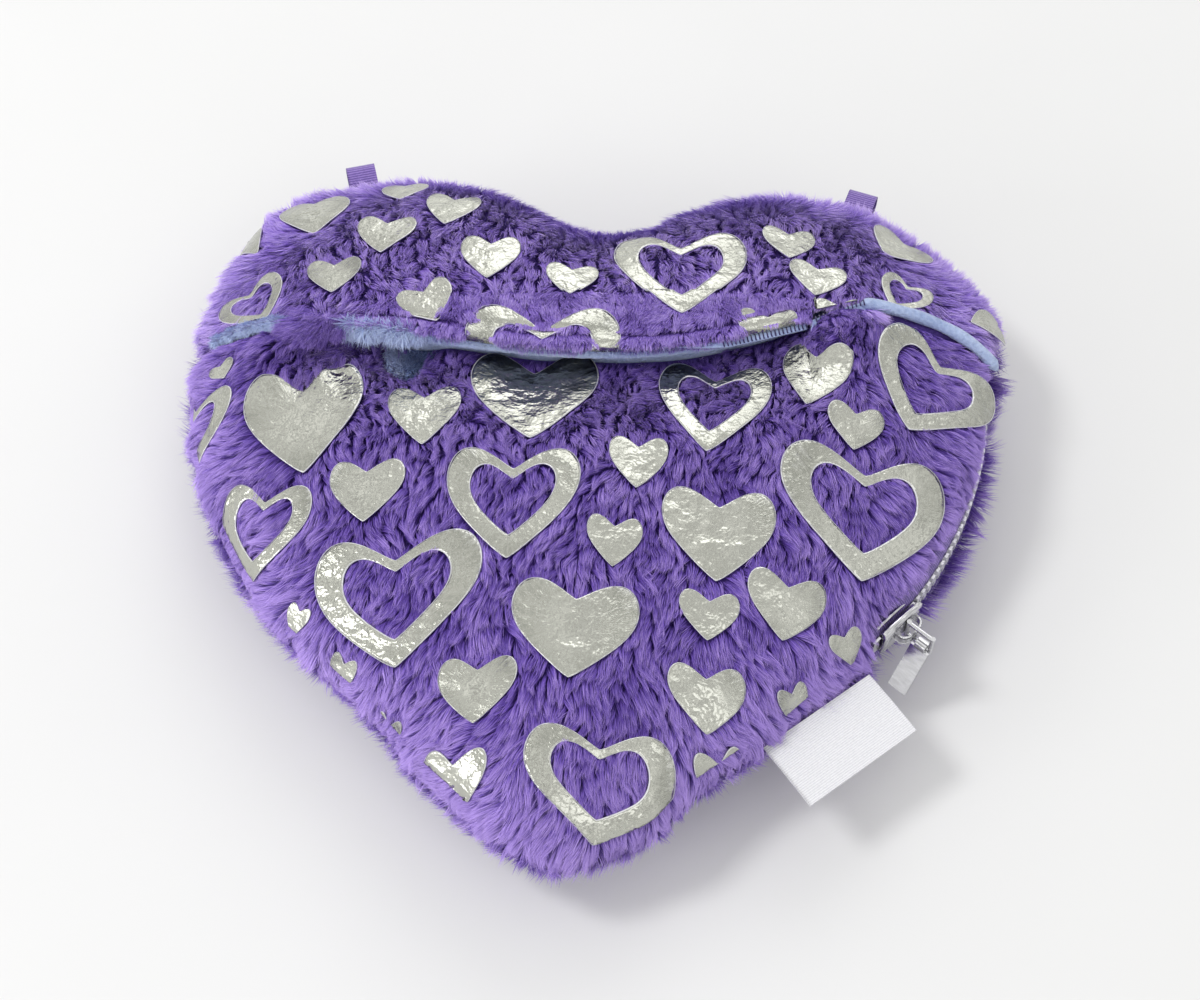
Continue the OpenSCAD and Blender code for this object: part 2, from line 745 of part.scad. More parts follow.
// Blank care label, sewn into the straight side below the zip
label_base = flank_c + (flank_r + cloth_gap + label_t / 2) * side_n
    + label_start * [side_n.y, -side_n.x];
module care_label() {
    color([0.93, 0.93, 0.95])
        translate([label_base.x, label_base.y, seam_z])
            rotate([0, 0, side_a])
                rotate([0, label_droop, 0])
                    translate([0, -label_w, -label_t / 2])
                        cube([label_reach, label_w, label_t]);
}

// Foil hearts. Each row is: place across and up as shares of the half width, from the front's
// highest point, width and height as shares of the largest width, turn in degrees, 1 for a ring,
// and 1 for the front panel or 0 for the yoke and the flap.
foil_shares = [
    [-0.734, 0.356, 0.43, 0.38, 8, 0, 0], [-0.538, 0.252, 0.36, 0.32, -2, 0, 0],
    [-0.384, 0.348, 0.34, 0.32, -8, 0, 0], [-0.653, 0.127, 0.33, 0.26, 2, 0, 0],
    [-0.268, 0.161, 0.36, 0.35, 0, 0, 0], [-0.402, 0.015, 0.33, 0.32, 25, 0, 0],
    [-0.064, 0.102, 0.31, 0.27, 0, 0, 0], [-0.52, 0.45, 0.3, 0.26, 0, 0, 0],
    [0.463, 0.294, 0.33, 0.28, 0, 0, 0], [0.531, 0.174, 0.35, 0.28, -6, 0, 0],
    [0.745, 0.375, 0.42, 0.3, -35, 0, 0], [0.198, 0.148, 0.8, 0.67, 3, 1, 0],
    [-0.849, 0.077, 0.42, 0.36, 30, 1, 0], [0.746, 0.177, 0.32, 0.32, -25, 1, 0],
    [0.945, 0.165, 0.2, 0.22, -60, 0, 0], [-0.12, -0.16, 0.9, 0.8, 0, 1, 0],
    [0.415, -0.022, 0.36, 0.32, 8, 0, 0], [0.588, 0.062, 0.3, 0.26, 8, 0, 0],
    [-0.673, -0.282, 0.71, 0.72, 8, 0, 1], [-0.384, -0.283, 0.42, 0.42, 3, 0, 1],
    [-0.133, -0.213, 0.74, 0.7, 2, 0, 1], [0.524, -0.113, 0.4, 0.44, -12, 0, 1],
    [0.624, -0.243, 0.34, 0.29, -3, 0, 1], [0.122, -0.402, 0.33, 0.33, 0, 0, 1],
    [-0.497, -0.485, 0.43, 0.37, 2, 0, 1], [0.08, -0.607, 0.31, 0.29, 0, 0, 1],
    [0.312, -0.563, 0.63, 0.53, 0, 0, 1], [0.002, -0.818, 0.7, 0.54, -2, 0, 1],
    [0.3, -0.75, 0.33, 0.26, 0, 0, 1], [0.472, -0.702, 0.45, 0.35, -4, 0, 1],
    [-0.202, -0.946, 0.43, 0.33, 0, 0, 1], [0.304, -0.925, 0.42, 0.33, 3, 0, 1],
    [-0.242, -1.12, 0.36, 0.32, -8, 0, 1], [0.352, -1.06, 0.3, 0.26, 25, 0, 1],
    [-0.415, -1, 0.2, 0.18, -30, 0, 1], [-0.53, -0.87, 0.18, 0.16, -30, 0, 1],
    [-0.646, -0.748, 0.15, 0.13, -30, 0, 1], [0.507, -0.885, 0.2, 0.16, 30, 0, 1],
    [0.627, -0.749, 0.22, 0.15, 30, 0, 1], [-0.905, -0.105, 0.16, 0.12, 20, 0, 1],
    [0.287, -0.218, 0.65, 0.68, -4, 1, 1], [0.805, -0.091, 0.76, 0.66, -22, 1, 1],
    [-0.159, -0.521, 0.75, 0.67, 0, 1, 1], [-0.756, -0.542, 0.6, 0.5, -12, 1, 1],
    [0.649, -0.455, 0.98, 0.75, 0, 1, 1], [-0.404, -0.739, 0.96, 0.7, 4, 1, 1],
    [0.077, -1.135, 0.81, 0.54, 0, 1, 1], [-0.985, -0.25, 0.5, 0.58, -15, 1, 1],
    [-0.905, 0.33, 0.22, 0.42, 25, 0, 0]
];
heart_steps = 28;
ring_share = 0.64;
ring_rise_share = 0.02;
// The heart curve's roundness, its coefficients, and how far it reaches below and above its origin
heart_power = 1.6;
heart_curve = [13, 5, 1.5, 1];
heart_low = 17.5;
heart_top = 11.4;
function heart_outline(w, h) =
    [for (i = [0:heart_steps - 1])
        let (a = 360 * i / heart_steps, k = heart_curve,
            up = k[0] * cos(a) - k[1] * cos(2 * a) - k[2] * cos(3 * a) - k[3] * cos(4 * a))
        [w / 2 * sign(sin(a)) * pow(abs(sin(a)), heart_power),
            h * ((up + heart_low) / (heart_top + heart_low) - 1 / 2)]];
module foil_heart(row) {
    w = row[2] * foil_w;
    h = row[3] * foil_w;
    translate([row[0] * wide, crown_c.y + row[1] * wide]) rotate(row[4]) difference() {
        polygon(heart_outline(w, h));
        if (row[5] == 1)
            translate([0, ring_rise_share * h])
                polygon(heart_outline(w * ring_share, h * ring_share));
    }
}
module all_foils(panel) {
    translate([0, 0, seam_z + slot_h / 2 + cloth_gap]) linear_extrude(tall)
        for (row = foil_shares) if (row[6] == panel) foil_heart(row);
}
module foil_front() {
    color([0.76, 0.77, 0.73]) intersection() {
        panel_layer(foil_out, -cloth_gap, -cloth_gap);
        all_foils(1);
    }
}
module foil_yoke() {
    color([0.76, 0.77, 0.73]) intersection() {
        front_layer(foil_out, -cloth_gap);
        above_fold(cloth_gap);
        all_foils(0);
    }
}
module foil_flap() {
    color([0.76, 0.77, 0.73]) intersection() {
        front_layer(foil_out, -cloth_gap);
        flap_area(cloth_gap, -cloth_gap);
        all_foils(0);
    }
}

back_panel();
front_panel();
yoke_panel();
front_flap();
back_wadding();
front_wadding();
yoke_wadding();
back_lining();
pocket_lining_front();
yoke_lining();
flap_lining();
main_partition();
pocket_partition();
yoke_facing();
panel_binding();
flap_piping();
yoke_piping();
zip_tape_front();
zip_tape_back();
zip_teeth_front();
zip_teeth_back();
zip_top_stops();
zip_bottom_stop();
zip_slider();
pull_link();
pull_tab();
strap_loop_left();
strap_loop_right();
care_label();
foil_front();
foil_yoke();
foil_flap();
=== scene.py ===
import math

import bpy
import numpy as np
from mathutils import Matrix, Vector


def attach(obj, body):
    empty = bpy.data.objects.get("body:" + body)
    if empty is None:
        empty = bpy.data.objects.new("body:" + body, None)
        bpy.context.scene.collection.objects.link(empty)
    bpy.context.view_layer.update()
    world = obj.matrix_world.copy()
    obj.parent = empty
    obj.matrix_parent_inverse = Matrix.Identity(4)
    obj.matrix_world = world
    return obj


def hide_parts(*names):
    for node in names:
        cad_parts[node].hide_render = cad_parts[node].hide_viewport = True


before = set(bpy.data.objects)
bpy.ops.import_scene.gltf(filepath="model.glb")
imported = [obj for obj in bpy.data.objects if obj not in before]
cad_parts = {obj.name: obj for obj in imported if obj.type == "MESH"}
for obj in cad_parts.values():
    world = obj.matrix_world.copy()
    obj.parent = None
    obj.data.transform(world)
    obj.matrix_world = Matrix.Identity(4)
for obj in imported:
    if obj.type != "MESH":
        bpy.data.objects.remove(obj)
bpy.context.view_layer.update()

MM, UP = 0.001, np.array([0.0, 0.0, 1.0])

# Outline, padding and mouth, with the same values as the CAD
LOBE_R, LOBE_X, FLANK_R, TIP_R, TIP_DROP, NOTCH_R = 66.0, 66.0, 140.0, 22.0, 158.0, 42.0
SEAM_Z, CROWN_H, BACK_H = 32.0, 42.0, 34.0
CROWN_POWER, BELLY_POWER = 2.2, 3.5
MOUTH_LEFT, MOUTH_RIGHT = (-112.0, 1.0), (87.0, 15.0)
SIDE_LEFT_Y, SIDE_RIGHT_Y, MOUTH_SAG, MOUTH_SKEW = 0.0, 5.0, 21.0, 0.5
FLAP_LEFT, FLAP_RIGHT, FLAP_GAP = -92.0, 68.0, 1.5
TUCK, HEM_OVER, DIP, DIP_REACH = 3.0, 1.0, 11.0, 25.0
PIPING, CHANNEL = 4.0, 2.3
ZIP_FROM, ZIP_TO, ZIP_R = -44.0, 6.0, 134.5
LOOP_ANGLE, LOOP_REACH, LOOP_W, LOOP_H = math.radians(73), 13.0, 10.0, 8.4
JOIN, CROWN_DROP, CLOTH_GAP = math.radians(8), 12.0, 0.3
SLIDER_AT = -38.46
WIDE = LOBE_X + LOBE_R


def unit(v):
    v = np.asarray(v, float)
    return v / np.maximum(1e-9, np.linalg.norm(v, axis=-1, keepdims=True))


def on_plane(v, n):
    """The share of v that lies across the unit normal n."""
    return v - (v * n).sum(-1, keepdims=True) * n


loop_rise = (LOBE_R + CLOTH_GAP + LOOP_REACH) * math.sin(LOOP_ANGLE) + LOOP_W / 2 * math.cos(LOOP_ANGLE)
lobe = np.array([LOBE_X, (TIP_DROP + TIP_R - loop_rise) / 2])
join_n = np.array([math.cos(JOIN), math.sin(JOIN)])
flank = lobe - (FLANK_R - LOBE_R) * join_n
tip = np.array([0.0, lobe[1] - TIP_DROP])
side_v = flank - tip
side_a = math.atan2(side_v[1], side_v[0]) - math.acos((TIP_R - FLANK_R) / math.hypot(*side_v))
side_n = np.array([math.cos(side_a), math.sin(side_a)])
notch = np.array([0.0, lobe[1] + math.sqrt((LOBE_R + NOTCH_R) ** 2 - LOBE_X**2)])
notch_n = (notch - lobe) / (LOBE_R + NOTCH_R)
crown = np.array([0.0, lobe[1] - CROWN_DROP])
patch = np.array([0.0, lobe[1] - LOBE_R - CROWN_DROP])
yoke_c = np.array([0.0, crown[1] + 27.0])


def to_circle(c, q, r, d, side):
    v = q - c
    along = d @ v
    off = v - along[:, None] * d
    return along + side * np.sqrt(np.maximum(0, r * r - (off**2).sum(-1)))


def rim(c, a, t=0.0):
    """Distance from a centre on the middle line to the outline moved inwards by t."""
    a = (a + np.pi / 2) % (2 * np.pi) - np.pi / 2
    a = np.where(a > np.pi / 2, np.pi - a, a)
    d = np.stack([np.cos(a), np.sin(a)], -1)
    ends = [tip + (TIP_R - t) * side_n, flank + (FLANK_R - t) * side_n,
            lobe + (LOBE_R - t) * join_n, lobe + (LOBE_R - t) * notch_n]
    b = [math.atan2(e[1] - c[1], e[0] - c[0]) for e in ends]
    straight = ((ends[0] - c) @ side_n) / np.maximum(1e-6, d @ side_n)
    return np.select(
        [a < b[0], a < b[1], a < b[2], a < b[3]],
        [to_circle(c, tip, TIP_R - t, d, 1), straight,
         to_circle(c, flank, FLANK_R - t, d, 1), to_circle(c, lobe, LOBE_R - t, d, 1)],
        to_circle(c, notch, NOTCH_R + t, d, -1),
    )


def share(p):
    v = p - crown
    return np.hypot(v[:, 0], v[:, 1]) / rim(crown, np.arctan2(v[:, 1], v[:, 0]))


def between(x, a, b):
    return a[1] + (b[1] - a[1]) * (x - a[0]) / (b[0] - a[0])


def chord_y(x):
    return crown[1] + between(x, MOUTH_LEFT, MOUTH_RIGHT)


def mouth_y(x):
    u = (2 * x - MOUTH_LEFT[0] - MOUTH_RIGHT[0]) / (MOUTH_RIGHT[0] - MOUTH_LEFT[0])
    sag = chord_y(x) - MOUTH_SAG * (1 + MOUTH_SKEW * u) * np.maximum(0, 1 - u**2) ** 1.3
    left = crown[1] + between(x, (-WIDE, SIDE_LEFT_Y), MOUTH_LEFT)
    right = crown[1] + between(x, MOUTH_RIGHT, (WIDE, SIDE_RIGHT_Y))
    return np.where(x < MOUTH_LEFT[0], left, np.where(x > MOUTH_RIGHT[0], right, sag))


def band_line(x):
    """The smooth piping at the right of the mouth, in plan."""
    return mouth_y(x) + 3.2 * np.sin(np.pi * np.clip((x - MOUTH_RIGHT[0]) / 42, 0, 1))


def by_flap(x, fade):
    left, right = 1 - (FLAP_LEFT - x) / fade, 1 - (x - FLAP_RIGHT) / fade
    return np.clip(np.minimum(left, right), 0, 1)


def panel_edge_y(x):
    return mouth_y(x) - CHANNEL + (TUCK + CHANNEL) * by_flap(x + np.sign(x) * PIPING, PIPING)


def dip(p):
    off = np.maximum(0, mouth_y(p[:, 0]) + TUCK - p[:, 1]) / DIP_REACH
    rim_fade = 1 - np.minimum(1, share(p)) ** 8
    return DIP * np.exp(-off * off) * by_flap(p[:, 0], DIP_REACH / 2) * rim_fade


def grad(f, p, e=0.05):
    dx, dy = np.array([e, 0.0]), np.array([0.0, e])
    return np.stack([f(p + dx) - f(p - dx), f(p + dy) - f(p - dy)], -1) / (2 * e)


def surface(kind, p):
    """Places and normals on the CAD's outer surface above or below plan points."""
    s = np.clip(share(p), 1e-4, 1)
    power = BELLY_POWER if kind == "back" else CROWN_POWER
    height, side = (BACK_H, -1) if kind == "back" else (CROWN_H, 1)
    rise = height * np.sqrt(np.maximum(0, 1 - s**power))
    z = SEAM_Z + side * rise
    out = power * (s ** (power - 1))[:, None] * grad(share, p)
    if kind == "panel":
        z = z - dip(p)
        out = out + (2 * rise / height**2)[:, None] * grad(dip, p)
    n = unit(np.column_stack([out, side * 2 * rise / height**2]))
    if kind == "back":
        low = z <= 0
        z = np.where(low, 0.0, z)
        n = np.where(low[:, None], np.array([0.0, 0.0, -1.0]), n)
    return np.column_stack([p, z]), n


def raised(kind, p, offset):
    """Places at an offset over the CAD's surface, and its normals."""
    pos, n = surface(kind, p)
    return pos + n * np.reshape(offset, (-1, 1)), n


# Smooth value noise over the plan
tables = {}


def noise(p, scale, seed):
    if seed not in tables:
        tables[seed] = np.random.RandomState(seed).uniform(-1, 1, (64, 64))
    t = tables[seed]
    u, v = p[:, 0] / scale + 31.3, p[:, 1] / scale + 17.7
    i, j = np.floor(u).astype(int), np.floor(v).astype(int)
    f, g = u - i, v - j
    f, g = f * f * (3 - 2 * f), g * g * (3 - 2 * g)
    i0, i1, j0, j1 = i % 64, (i + 1) % 64, j % 64, (j + 1) % 64
    return (t[i0, j0] * (1 - f) + t[i1, j0] * f) * (1 - g) + (t[i0, j1] * (1 - f) + t[i1, j1] * f) * g


def mound(p, place, reach):
    return np.exp(-((p - place) ** 2).sum(-1) / reach**2)


def shoulder(p):
    """The fuller upper left corner, right side, lower left and tip."""
    return (4.0 * mound(p, (-112.0, 92.0), 22.0) + 4.5 * mound(p, (130.0, 58.0), 20.0)
            + 3.5 * mound(p, (-42.0, -100.0), 15.0) + 4.0 * mound(p, (-24.0, -117.0), 13.0)
            + 4.0 * mound(p, (26.0, -117.0), 12.0))


def relief(p):
    """Soft bumps and hollows of the stuffing."""
    return 1.3 * noise(p, 34, 1) + 0.7 * noise(p, 15, 2) + shoulder(p)


# Where the cloth gathers at the left of the mouth, and the hollow under the hem beside it
GATHER, HOLLOW = np.array([-87.0, 36.0]), np.array([-59.0, 29.0])


def hollow(p):
    v = (p - HOLLOW) / (7.5, 8.0)
    v[:, 0] /= np.clip(1 + 0.45 * v[:, 1], 0.35, 1.3)
    return np.exp(-((v**2).sum(-1) ** 1.5))


def tongue(p):
    """True where a tongue of the light lining hangs out beside the hollow."""
    v = p - (-65.0, 31.5)
    return ((v[:, 0] + 0.25 * v[:, 1]) / 2.4) ** 2 + (v[:, 1] / 6.5) ** 2 < 1


def polar(p, c):
    v = p - c
    return np.hypot(v[:, 0], v[:, 1]), np.arctan2(v[:, 1], v[:, 0])


def panel_relief(p):
    """The front panel's bumps, with folds that spread from the gather, and the hollow."""
    d, a = polar(p, GATHER)
    fold = 1.2 * np.cos(9 * a + 0.8) * np.exp(-(((d - 15) / 8) ** 2))
    closed = 8.5 * np.exp(-((d / 12) ** 2)) + 9.0 * mound(p, (75.0, 44.0), 11.0)
    return relief(p) + fold - 6.0 * hollow(p) + closed


RELIEFS = {"back": lambda p: 0.8 * noise(p, 26, 4) + shoulder(p), "panel": panel_relief, "front": relief}


# Foil hearts of the front panel, and of the yoke with the flap: plan place from the front's highest
# point as a share of half the width, width and height as shares of FOIL_W, turn, and 1 for a ring
HEARTS = {"panel": [
    (-0.673, -0.282, 0.71, 0.72, 8, 0), (-0.384, -0.283, 0.42, 0.42, 3, 0),
    (-0.133, -0.213, 0.74, 0.7, 2, 0), (0.524, -0.113, 0.4, 0.44, -12, 0),
    (0.624, -0.243, 0.34, 0.29, -3, 0), (0.122, -0.402, 0.33, 0.33, 0, 0),
    (-0.497, -0.485, 0.43, 0.37, 2, 0), (0.08, -0.607, 0.31, 0.29, 0, 0), (0.312, -0.563, 0.63, 0.53, 0, 0),
    (0.002, -0.818, 0.7, 0.54, -2, 0), (0.3, -0.75, 0.33, 0.26, 0, 0), (0.472, -0.702, 0.45, 0.35, -4, 0),
    (-0.202, -0.946, 0.43, 0.33, 0, 0), (0.304, -0.925, 0.42, 0.33, 3, 0),
    (-0.242, -1.12, 0.36, 0.32, -8, 0), (0.352, -1.06, 0.3, 0.26, 25, 0), (-0.415, -1, 0.2, 0.18, -30, 0),
    (-0.53, -0.87, 0.18, 0.16, -30, 0), (-0.646, -0.748, 0.15, 0.13, -30, 0),
    (0.507, -0.885, 0.2, 0.16, 30, 0), (0.627, -0.749, 0.22, 0.15, 30, 0),
    (-0.905, -0.105, 0.16, 0.12, 20, 0), (0.287, -0.218, 0.65, 0.68, -4, 1),
    (0.805, -0.091, 0.76, 0.66, -22, 1), (-0.159, -0.521, 0.75, 0.67, 0, 1),
    (-0.756, -0.542, 0.6, 0.5, -12, 1), (0.649, -0.455, 0.98, 0.75, 0, 1),
    (-0.404, -0.739, 0.96, 0.7, 4, 1), (0.077, -1.135, 0.81, 0.54, 0, 1),
    (-0.985, -0.25, 0.5, 0.58, -15, 1),
], "yoke": [
    (-0.734, 0.356, 0.43, 0.38, 8, 0), (-0.538, 0.252, 0.36, 0.32, -2, 0),
    (-0.384, 0.348, 0.34, 0.32, -8, 0), (-0.653, 0.127, 0.33, 0.26, 2, 0),
    (-0.268, 0.161, 0.36, 0.35, 0, 0), (-0.402, 0.015, 0.33, 0.32, 25, 0),
    (-0.064, 0.102, 0.31, 0.27, 0, 0), (-0.52, 0.45, 0.3, 0.26, 0, 0), (0.463, 0.294, 0.33, 0.28, 0, 0),
    (0.531, 0.174, 0.35, 0.28, -6, 0), (0.745, 0.375, 0.42, 0.3, -35, 0), (0.198, 0.148, 0.8, 0.67, 3, 1),
    (-0.849, 0.077, 0.42, 0.36, 30, 1), (0.746, 0.177, 0.32, 0.32, -25, 1),
    (0.945, 0.165, 0.2, 0.22, -60, 0), (-0.12, -0.16, 0.9, 0.8, 0, 1), (0.415, -0.022, 0.36, 0.32, 8, 0),
    (0.588, 0.062, 0.3, 0.26, 8, 0), (-0.905, 0.33, 0.22, 0.42, 25, 0),
]}
FOIL_W, RING_SHARE, RING_RISE = 54.0, 0.64, 0.02
HEART_POWER, HEART_LOW, HEART_TOP = 1.6, 17.5, 11.4
HEART_N = 96


def heart_curve(w, h):
    a = np.arange(HEART_N) * 2 * np.pi / HEART_N
    up = 13 * np.cos(a) - 5 * np.cos(2 * a) - 1.5 * np.cos(3 * a) - np.cos(4 * a)
    x = np.sign(np.sin(a)) * np.abs(np.sin(a)) ** HEART_POWER
    return np.column_stack([x * w / 2, h * ((up + HEART_LOW) / (HEART_TOP + HEART_LOW) - 0.5)])


def heart_lines(row):
    """Outer outline, and for a ring the inner one, as plan points."""
    x, y, w, h, turn, ring = row
    c, s = math.cos(math.radians(turn)), math.sin(math.radians(turn))
    turn_m = np.array([[c, s], [-s, c]])
    place = np.array([x * WIDE, crown[1] + y * WIDE])
    w, h = w * FOIL_W, h * FOIL_W
    outer = heart_curve(w, h)
    inner = heart_curve(w * RING_SHARE, h * RING_SHARE) + np.array([0, RING_RISE * h])
    return outer @ turn_m + place, (inner @ turn_m + place if ring else None), place


def polygon_distance(p, line):
    """Signed distance of plan points to a closed outline, negative inside."""
    a, b = line, np.roll(line, -1, 0)
    ab = b - a
    best = np.full(len(p), 1e9)
    inside = np.zeros(len(p), bool)
    for q, e in zip(a, ab):
        v = p - q
        t = np.clip((v @ e) / max(1e-12, e @ e), 0, 1)
        w = v - t[:, None] * e
        best = np.minimum(best, (w**2).sum(-1))
        r = q + e
        cross = (q[1] > p[:, 1]) != (r[1] > p[:, 1])
        if abs(e[1]) > 1e-12:
            inside ^= cross & (p[:, 0] < q[0] + e[0] * (p[:, 1] - q[1]) / e[1])
    return np.where(inside, -1, 1) * np.sqrt(best)


# The foil's distance field, and where the foil ends as a share of the way to the seam
FOIL_END, FIELD_CAP = 0.99, 8.0
GRID, GRID_FROM, GRID_N = 0.5, -150.0, 600


def foil_field(rows):
    """Grid of the signed distance to foil hearts, up to a cap."""
    field = np.full((GRID_N, GRID_N), FIELD_CAP)
    for row in rows:
        outer, inner, place = heart_lines(row)
        half = max(row[2], row[3]) * FOIL_W / 2 * 1.1 + FIELD_CAP
        (i0, j0), (i1, j1) = (np.clip(((place + s * half - GRID_FROM) / GRID).astype(int), 0, GRID_N)
                              for s in (-1, 1))
        gi, gj = np.meshgrid(np.arange(i0, i1), np.arange(j0, j1), indexing="ij")
        q = np.column_stack([gi.ravel(), gj.ravel()]) * GRID + GRID_FROM
        d = polygon_distance(q, outer)
        if inner is not None:
            d = np.maximum(d, -polygon_distance(q, inner))
        # No foil past the seam, so that fur grows there
        d = np.maximum(d, (share(q) - FOIL_END) * np.hypot(*(q - crown).T)).reshape(gi.shape)
        field[i0:i1, j0:j1] = np.minimum(field[i0:i1, j0:j1], d)
    return field


def look_up(field, p):
    u, v = np.clip((p.T - GRID_FROM) / GRID, 0, GRID_N - 1.01)
    i, j = u.astype(int), v.astype(int)
    f, g = u - i, v - j
    return ((field[i, j] * (1 - f) + field[i + 1, j] * f) * (1 - g)
            + (field[i, j + 1] * (1 - f) + field[i + 1, j + 1] * f) * g)


# Meshes from arrays
def build(name, verts, quads, tris=np.zeros((0, 3), int)):
    me = bpy.data.meshes.new(name)
    me.vertices.add(len(verts))
    me.vertices.foreach_set("co", (verts * MM).astype(np.float32).ravel())
    me.loops.add(quads.size + tris.size)
    me.loops.foreach_set("vertex_index", np.concatenate([quads.ravel(), tris.ravel()]).astype(np.int32))
    me.polygons.add(len(quads) + len(tris))
    starts = np.concatenate([np.arange(len(quads)) * 4, quads.size + np.arange(len(tris)) * 3])
    me.polygons.foreach_set("loop_start", starts.astype(np.int32))
    me.polygons.foreach_set("use_smooth", np.ones(len(quads) + len(tris), bool))
    me.update(calc_edges=True)
    me.validate()
    obj = bpy.data.objects.new(name, me)
    bpy.context.scene.collection.objects.link(obj)
    return obj


def add_float(obj, name, values):
    attribute = obj.data.attributes.new(name, "FLOAT", "POINT")
    attribute.data.foreach_set("value", np.asarray(values, np.float32))


def join_parts(parts):
    """Joins (verts, quads, tris) triples into one."""
    verts, quads, tris = zip(*parts)
    first = np.cumsum([0] + [len(v) for v in verts[:-1]])
    return (np.concatenate(verts), np.concatenate([q + k for q, k in zip(quads, first)]),
            np.concatenate([t + k for t, k in zip(tris, first)]))


def disc_faces(around, steps):
    """Quads and middle triangles of a polar grid whose first vertex is its centre."""
    i = np.arange(around)
    j = (i + 1) % around
    quads = np.concatenate([
        np.column_stack([1 + (k - 1) * around + i, 1 + k * around + i,
                         1 + k * around + j, 1 + (k - 1) * around + j])
        for k in range(1, steps)])
    return quads, np.column_stack([np.zeros(around, int), 1 + i, 1 + j])


def fan(c, reach, around, steps):
    """Plan points and faces of a polar grid about a centre, closer together at its edge."""
    a = np.arange(around) * 2 * np.pi / around
    shares = (np.arange(1, steps + 1) / steps) ** 0.62
    pts = c + (shares[:, None] * reach(a))[..., None] * np.stack([np.cos(a), np.sin(a)], -1)
    return (np.concatenate([[c], pts.reshape(-1, 2)]), *disc_faces(around, steps))


def reach_to(c, allowed, a):
    """Distance along bearings to the outline or to where the plan stops being allowed."""
    full = rim(c, a)
    low, high = np.zeros_like(a), full.copy()
    d = np.stack([np.cos(a), np.sin(a)], -1)
    ok = allowed(c + full[:, None] * d)
    for _ in range(30):
        mid = (low + high) / 2
        good = allowed(c + mid[:, None] * d)
        low, high = np.where(good, mid, low), np.where(good, high, mid)
    return np.where(ok, full, low)


def grid_quads(rows, cols, wrap=False):
    i, j = np.meshgrid(np.arange(rows - 1), np.arange(cols if wrap else cols - 1), indexing="ij")
    i, j = i.ravel(), j.ravel()
    k = (j + 1) % cols
    return np.column_stack([i * cols + j, (i + 1) * cols + j, (i + 1) * cols + k, i * cols + k])


def closed(rings, ends):
    """A closed skin over rings of points, fanned to one point at either end."""
    n, sides = rings.shape[:2]
    i = np.arange(sides)
    j = (i + 1) % sides
    tris = np.concatenate([
        np.column_stack([np.full(sides, n * sides), i, j]),
        np.column_stack([np.full(sides, n * sides + 1), (n - 1) * sides + j, (n - 1) * sides + i])])
    return np.concatenate([rings.reshape(-1, 3), ends]), grid_quads(n, sides, wrap=True), tris


def tube(path, radius, sides):
    """A closed round tube along a path; radius may vary along it."""
    along = unit(np.gradient(path, axis=0))
    across = unit(np.cross(along, UP))
    up = np.cross(across, along)
    a = np.arange(sides) * 2 * np.pi / sides
    radius = np.broadcast_to(radius, (len(path),))
    rings = path[:, None, :] + radius[:, None, None] * (
        np.cos(a)[None, :, None] * across[:, None, :] + np.sin(a)[None, :, None] * up[:, None, :])
    return closed(rings, path[[0, -1]])


# Node materials
def add_node(tree, kind, inputs=None, **values):
    n = tree.nodes.new("ShaderNode" + kind)
    for key, value in values.items():
        setattr(n, key, value)
    feed(tree, n, inputs or {})
    return n


def feed(tree, n, inputs):
    """Links sockets to a node's inputs and sets the other values."""
    for key, value in inputs.items():
        if isinstance(value, bpy.types.NodeSocket):
            tree.links.new(value, n.inputs[key])
        else:
            n.inputs[key].default_value = value


class Look:
    """A material on the principled shader, with short ways to add nodes; each gives a socket."""

    def __init__(self, name, inputs):
        self.mat = bpy.data.materials.new(name)
        self.mat.use_nodes = True
        self.tree = self.mat.node_tree
        self.normal = None
        self.feed(inputs)

    def feed(self, inputs):
        feed(self.tree, self.tree.nodes["Principled BSDF"], inputs)

    def add(self, kind, out, inputs, **values):
        return add_node(self.tree, kind, inputs, **values).outputs[out]

    def attribute(self, name, out="Fac"):
        return self.add("Attribute", out, {}, attribute_name=name)

    def noise(self, scale, detail=2.0, stretch=(1, 1, 1), at=None, **more):
        if at is None:
            place = self.add("TexCoord", "Object", {})
            at = self.add("Mapping", "Vector", {"Vector": place, "Scale": stretch})
        return self.add("TexNoise", "Fac", {"Vector": at, "Scale": scale, "Detail": detail, **more})

    def math(self, operation, *inputs, **values):
        return self.add("Math", 0, dict(enumerate(inputs)), operation=operation, **values)

    def spread(self, value, low, high, to_low=0.0, to_high=1.0):
        return self.add("MapRange", "Result", {"Value": value, "From Min": low, "From Max": high,
                                               "To Min": to_low, "To Max": to_high})

    def ramp(self, fac, *stops):
        r = add_node(self.tree, "ValToRGB", {"Fac": fac})
        e = r.color_ramp.elements
        while len(e) < len(stops):
            e.new(0.5)
        for item, (pos, col) in zip(e, stops):
            item.position = pos
            item.color = (*col, 1)
        return r.outputs["Color"]

    def colour(self, fac, *stops):
        self.feed({"Base Color": self.ramp(fac, *stops)})

    def bump(self, height, strength, distance):
        """Adds a bump, in metres, to those before it."""
        inputs = {"Height": height, "Strength": strength, "Distance": distance}
        if self.normal:
            inputs["Normal"] = self.normal
        self.normal = self.add("Bump", "Normal", inputs)
        self.feed({"Normal": self.normal})


def fur_material(name, dark, mid, light):
    """Pile: painted shade towards each strand's root and a painted highlight towards its tip, with patches of
    deeper colour.
    """
    look = Look(name, {"Roughness": 0.5, "Specular IOR Level": 0.35, "Sheen Weight": 0.8,
                       "Sheen Roughness": 0.35, "Sheen Tint": (0.74, 0.6, 1.0, 1)})
    patches = look.math("MULTIPLY_ADD", look.noise(45.0), 0.25, -0.125)
    total = look.math("ADD", look.attribute("shade"), patches, use_clamp=True)
    look.colour(total, (0.0, dark), (0.5, mid), (1.0, light))
    return look.mat


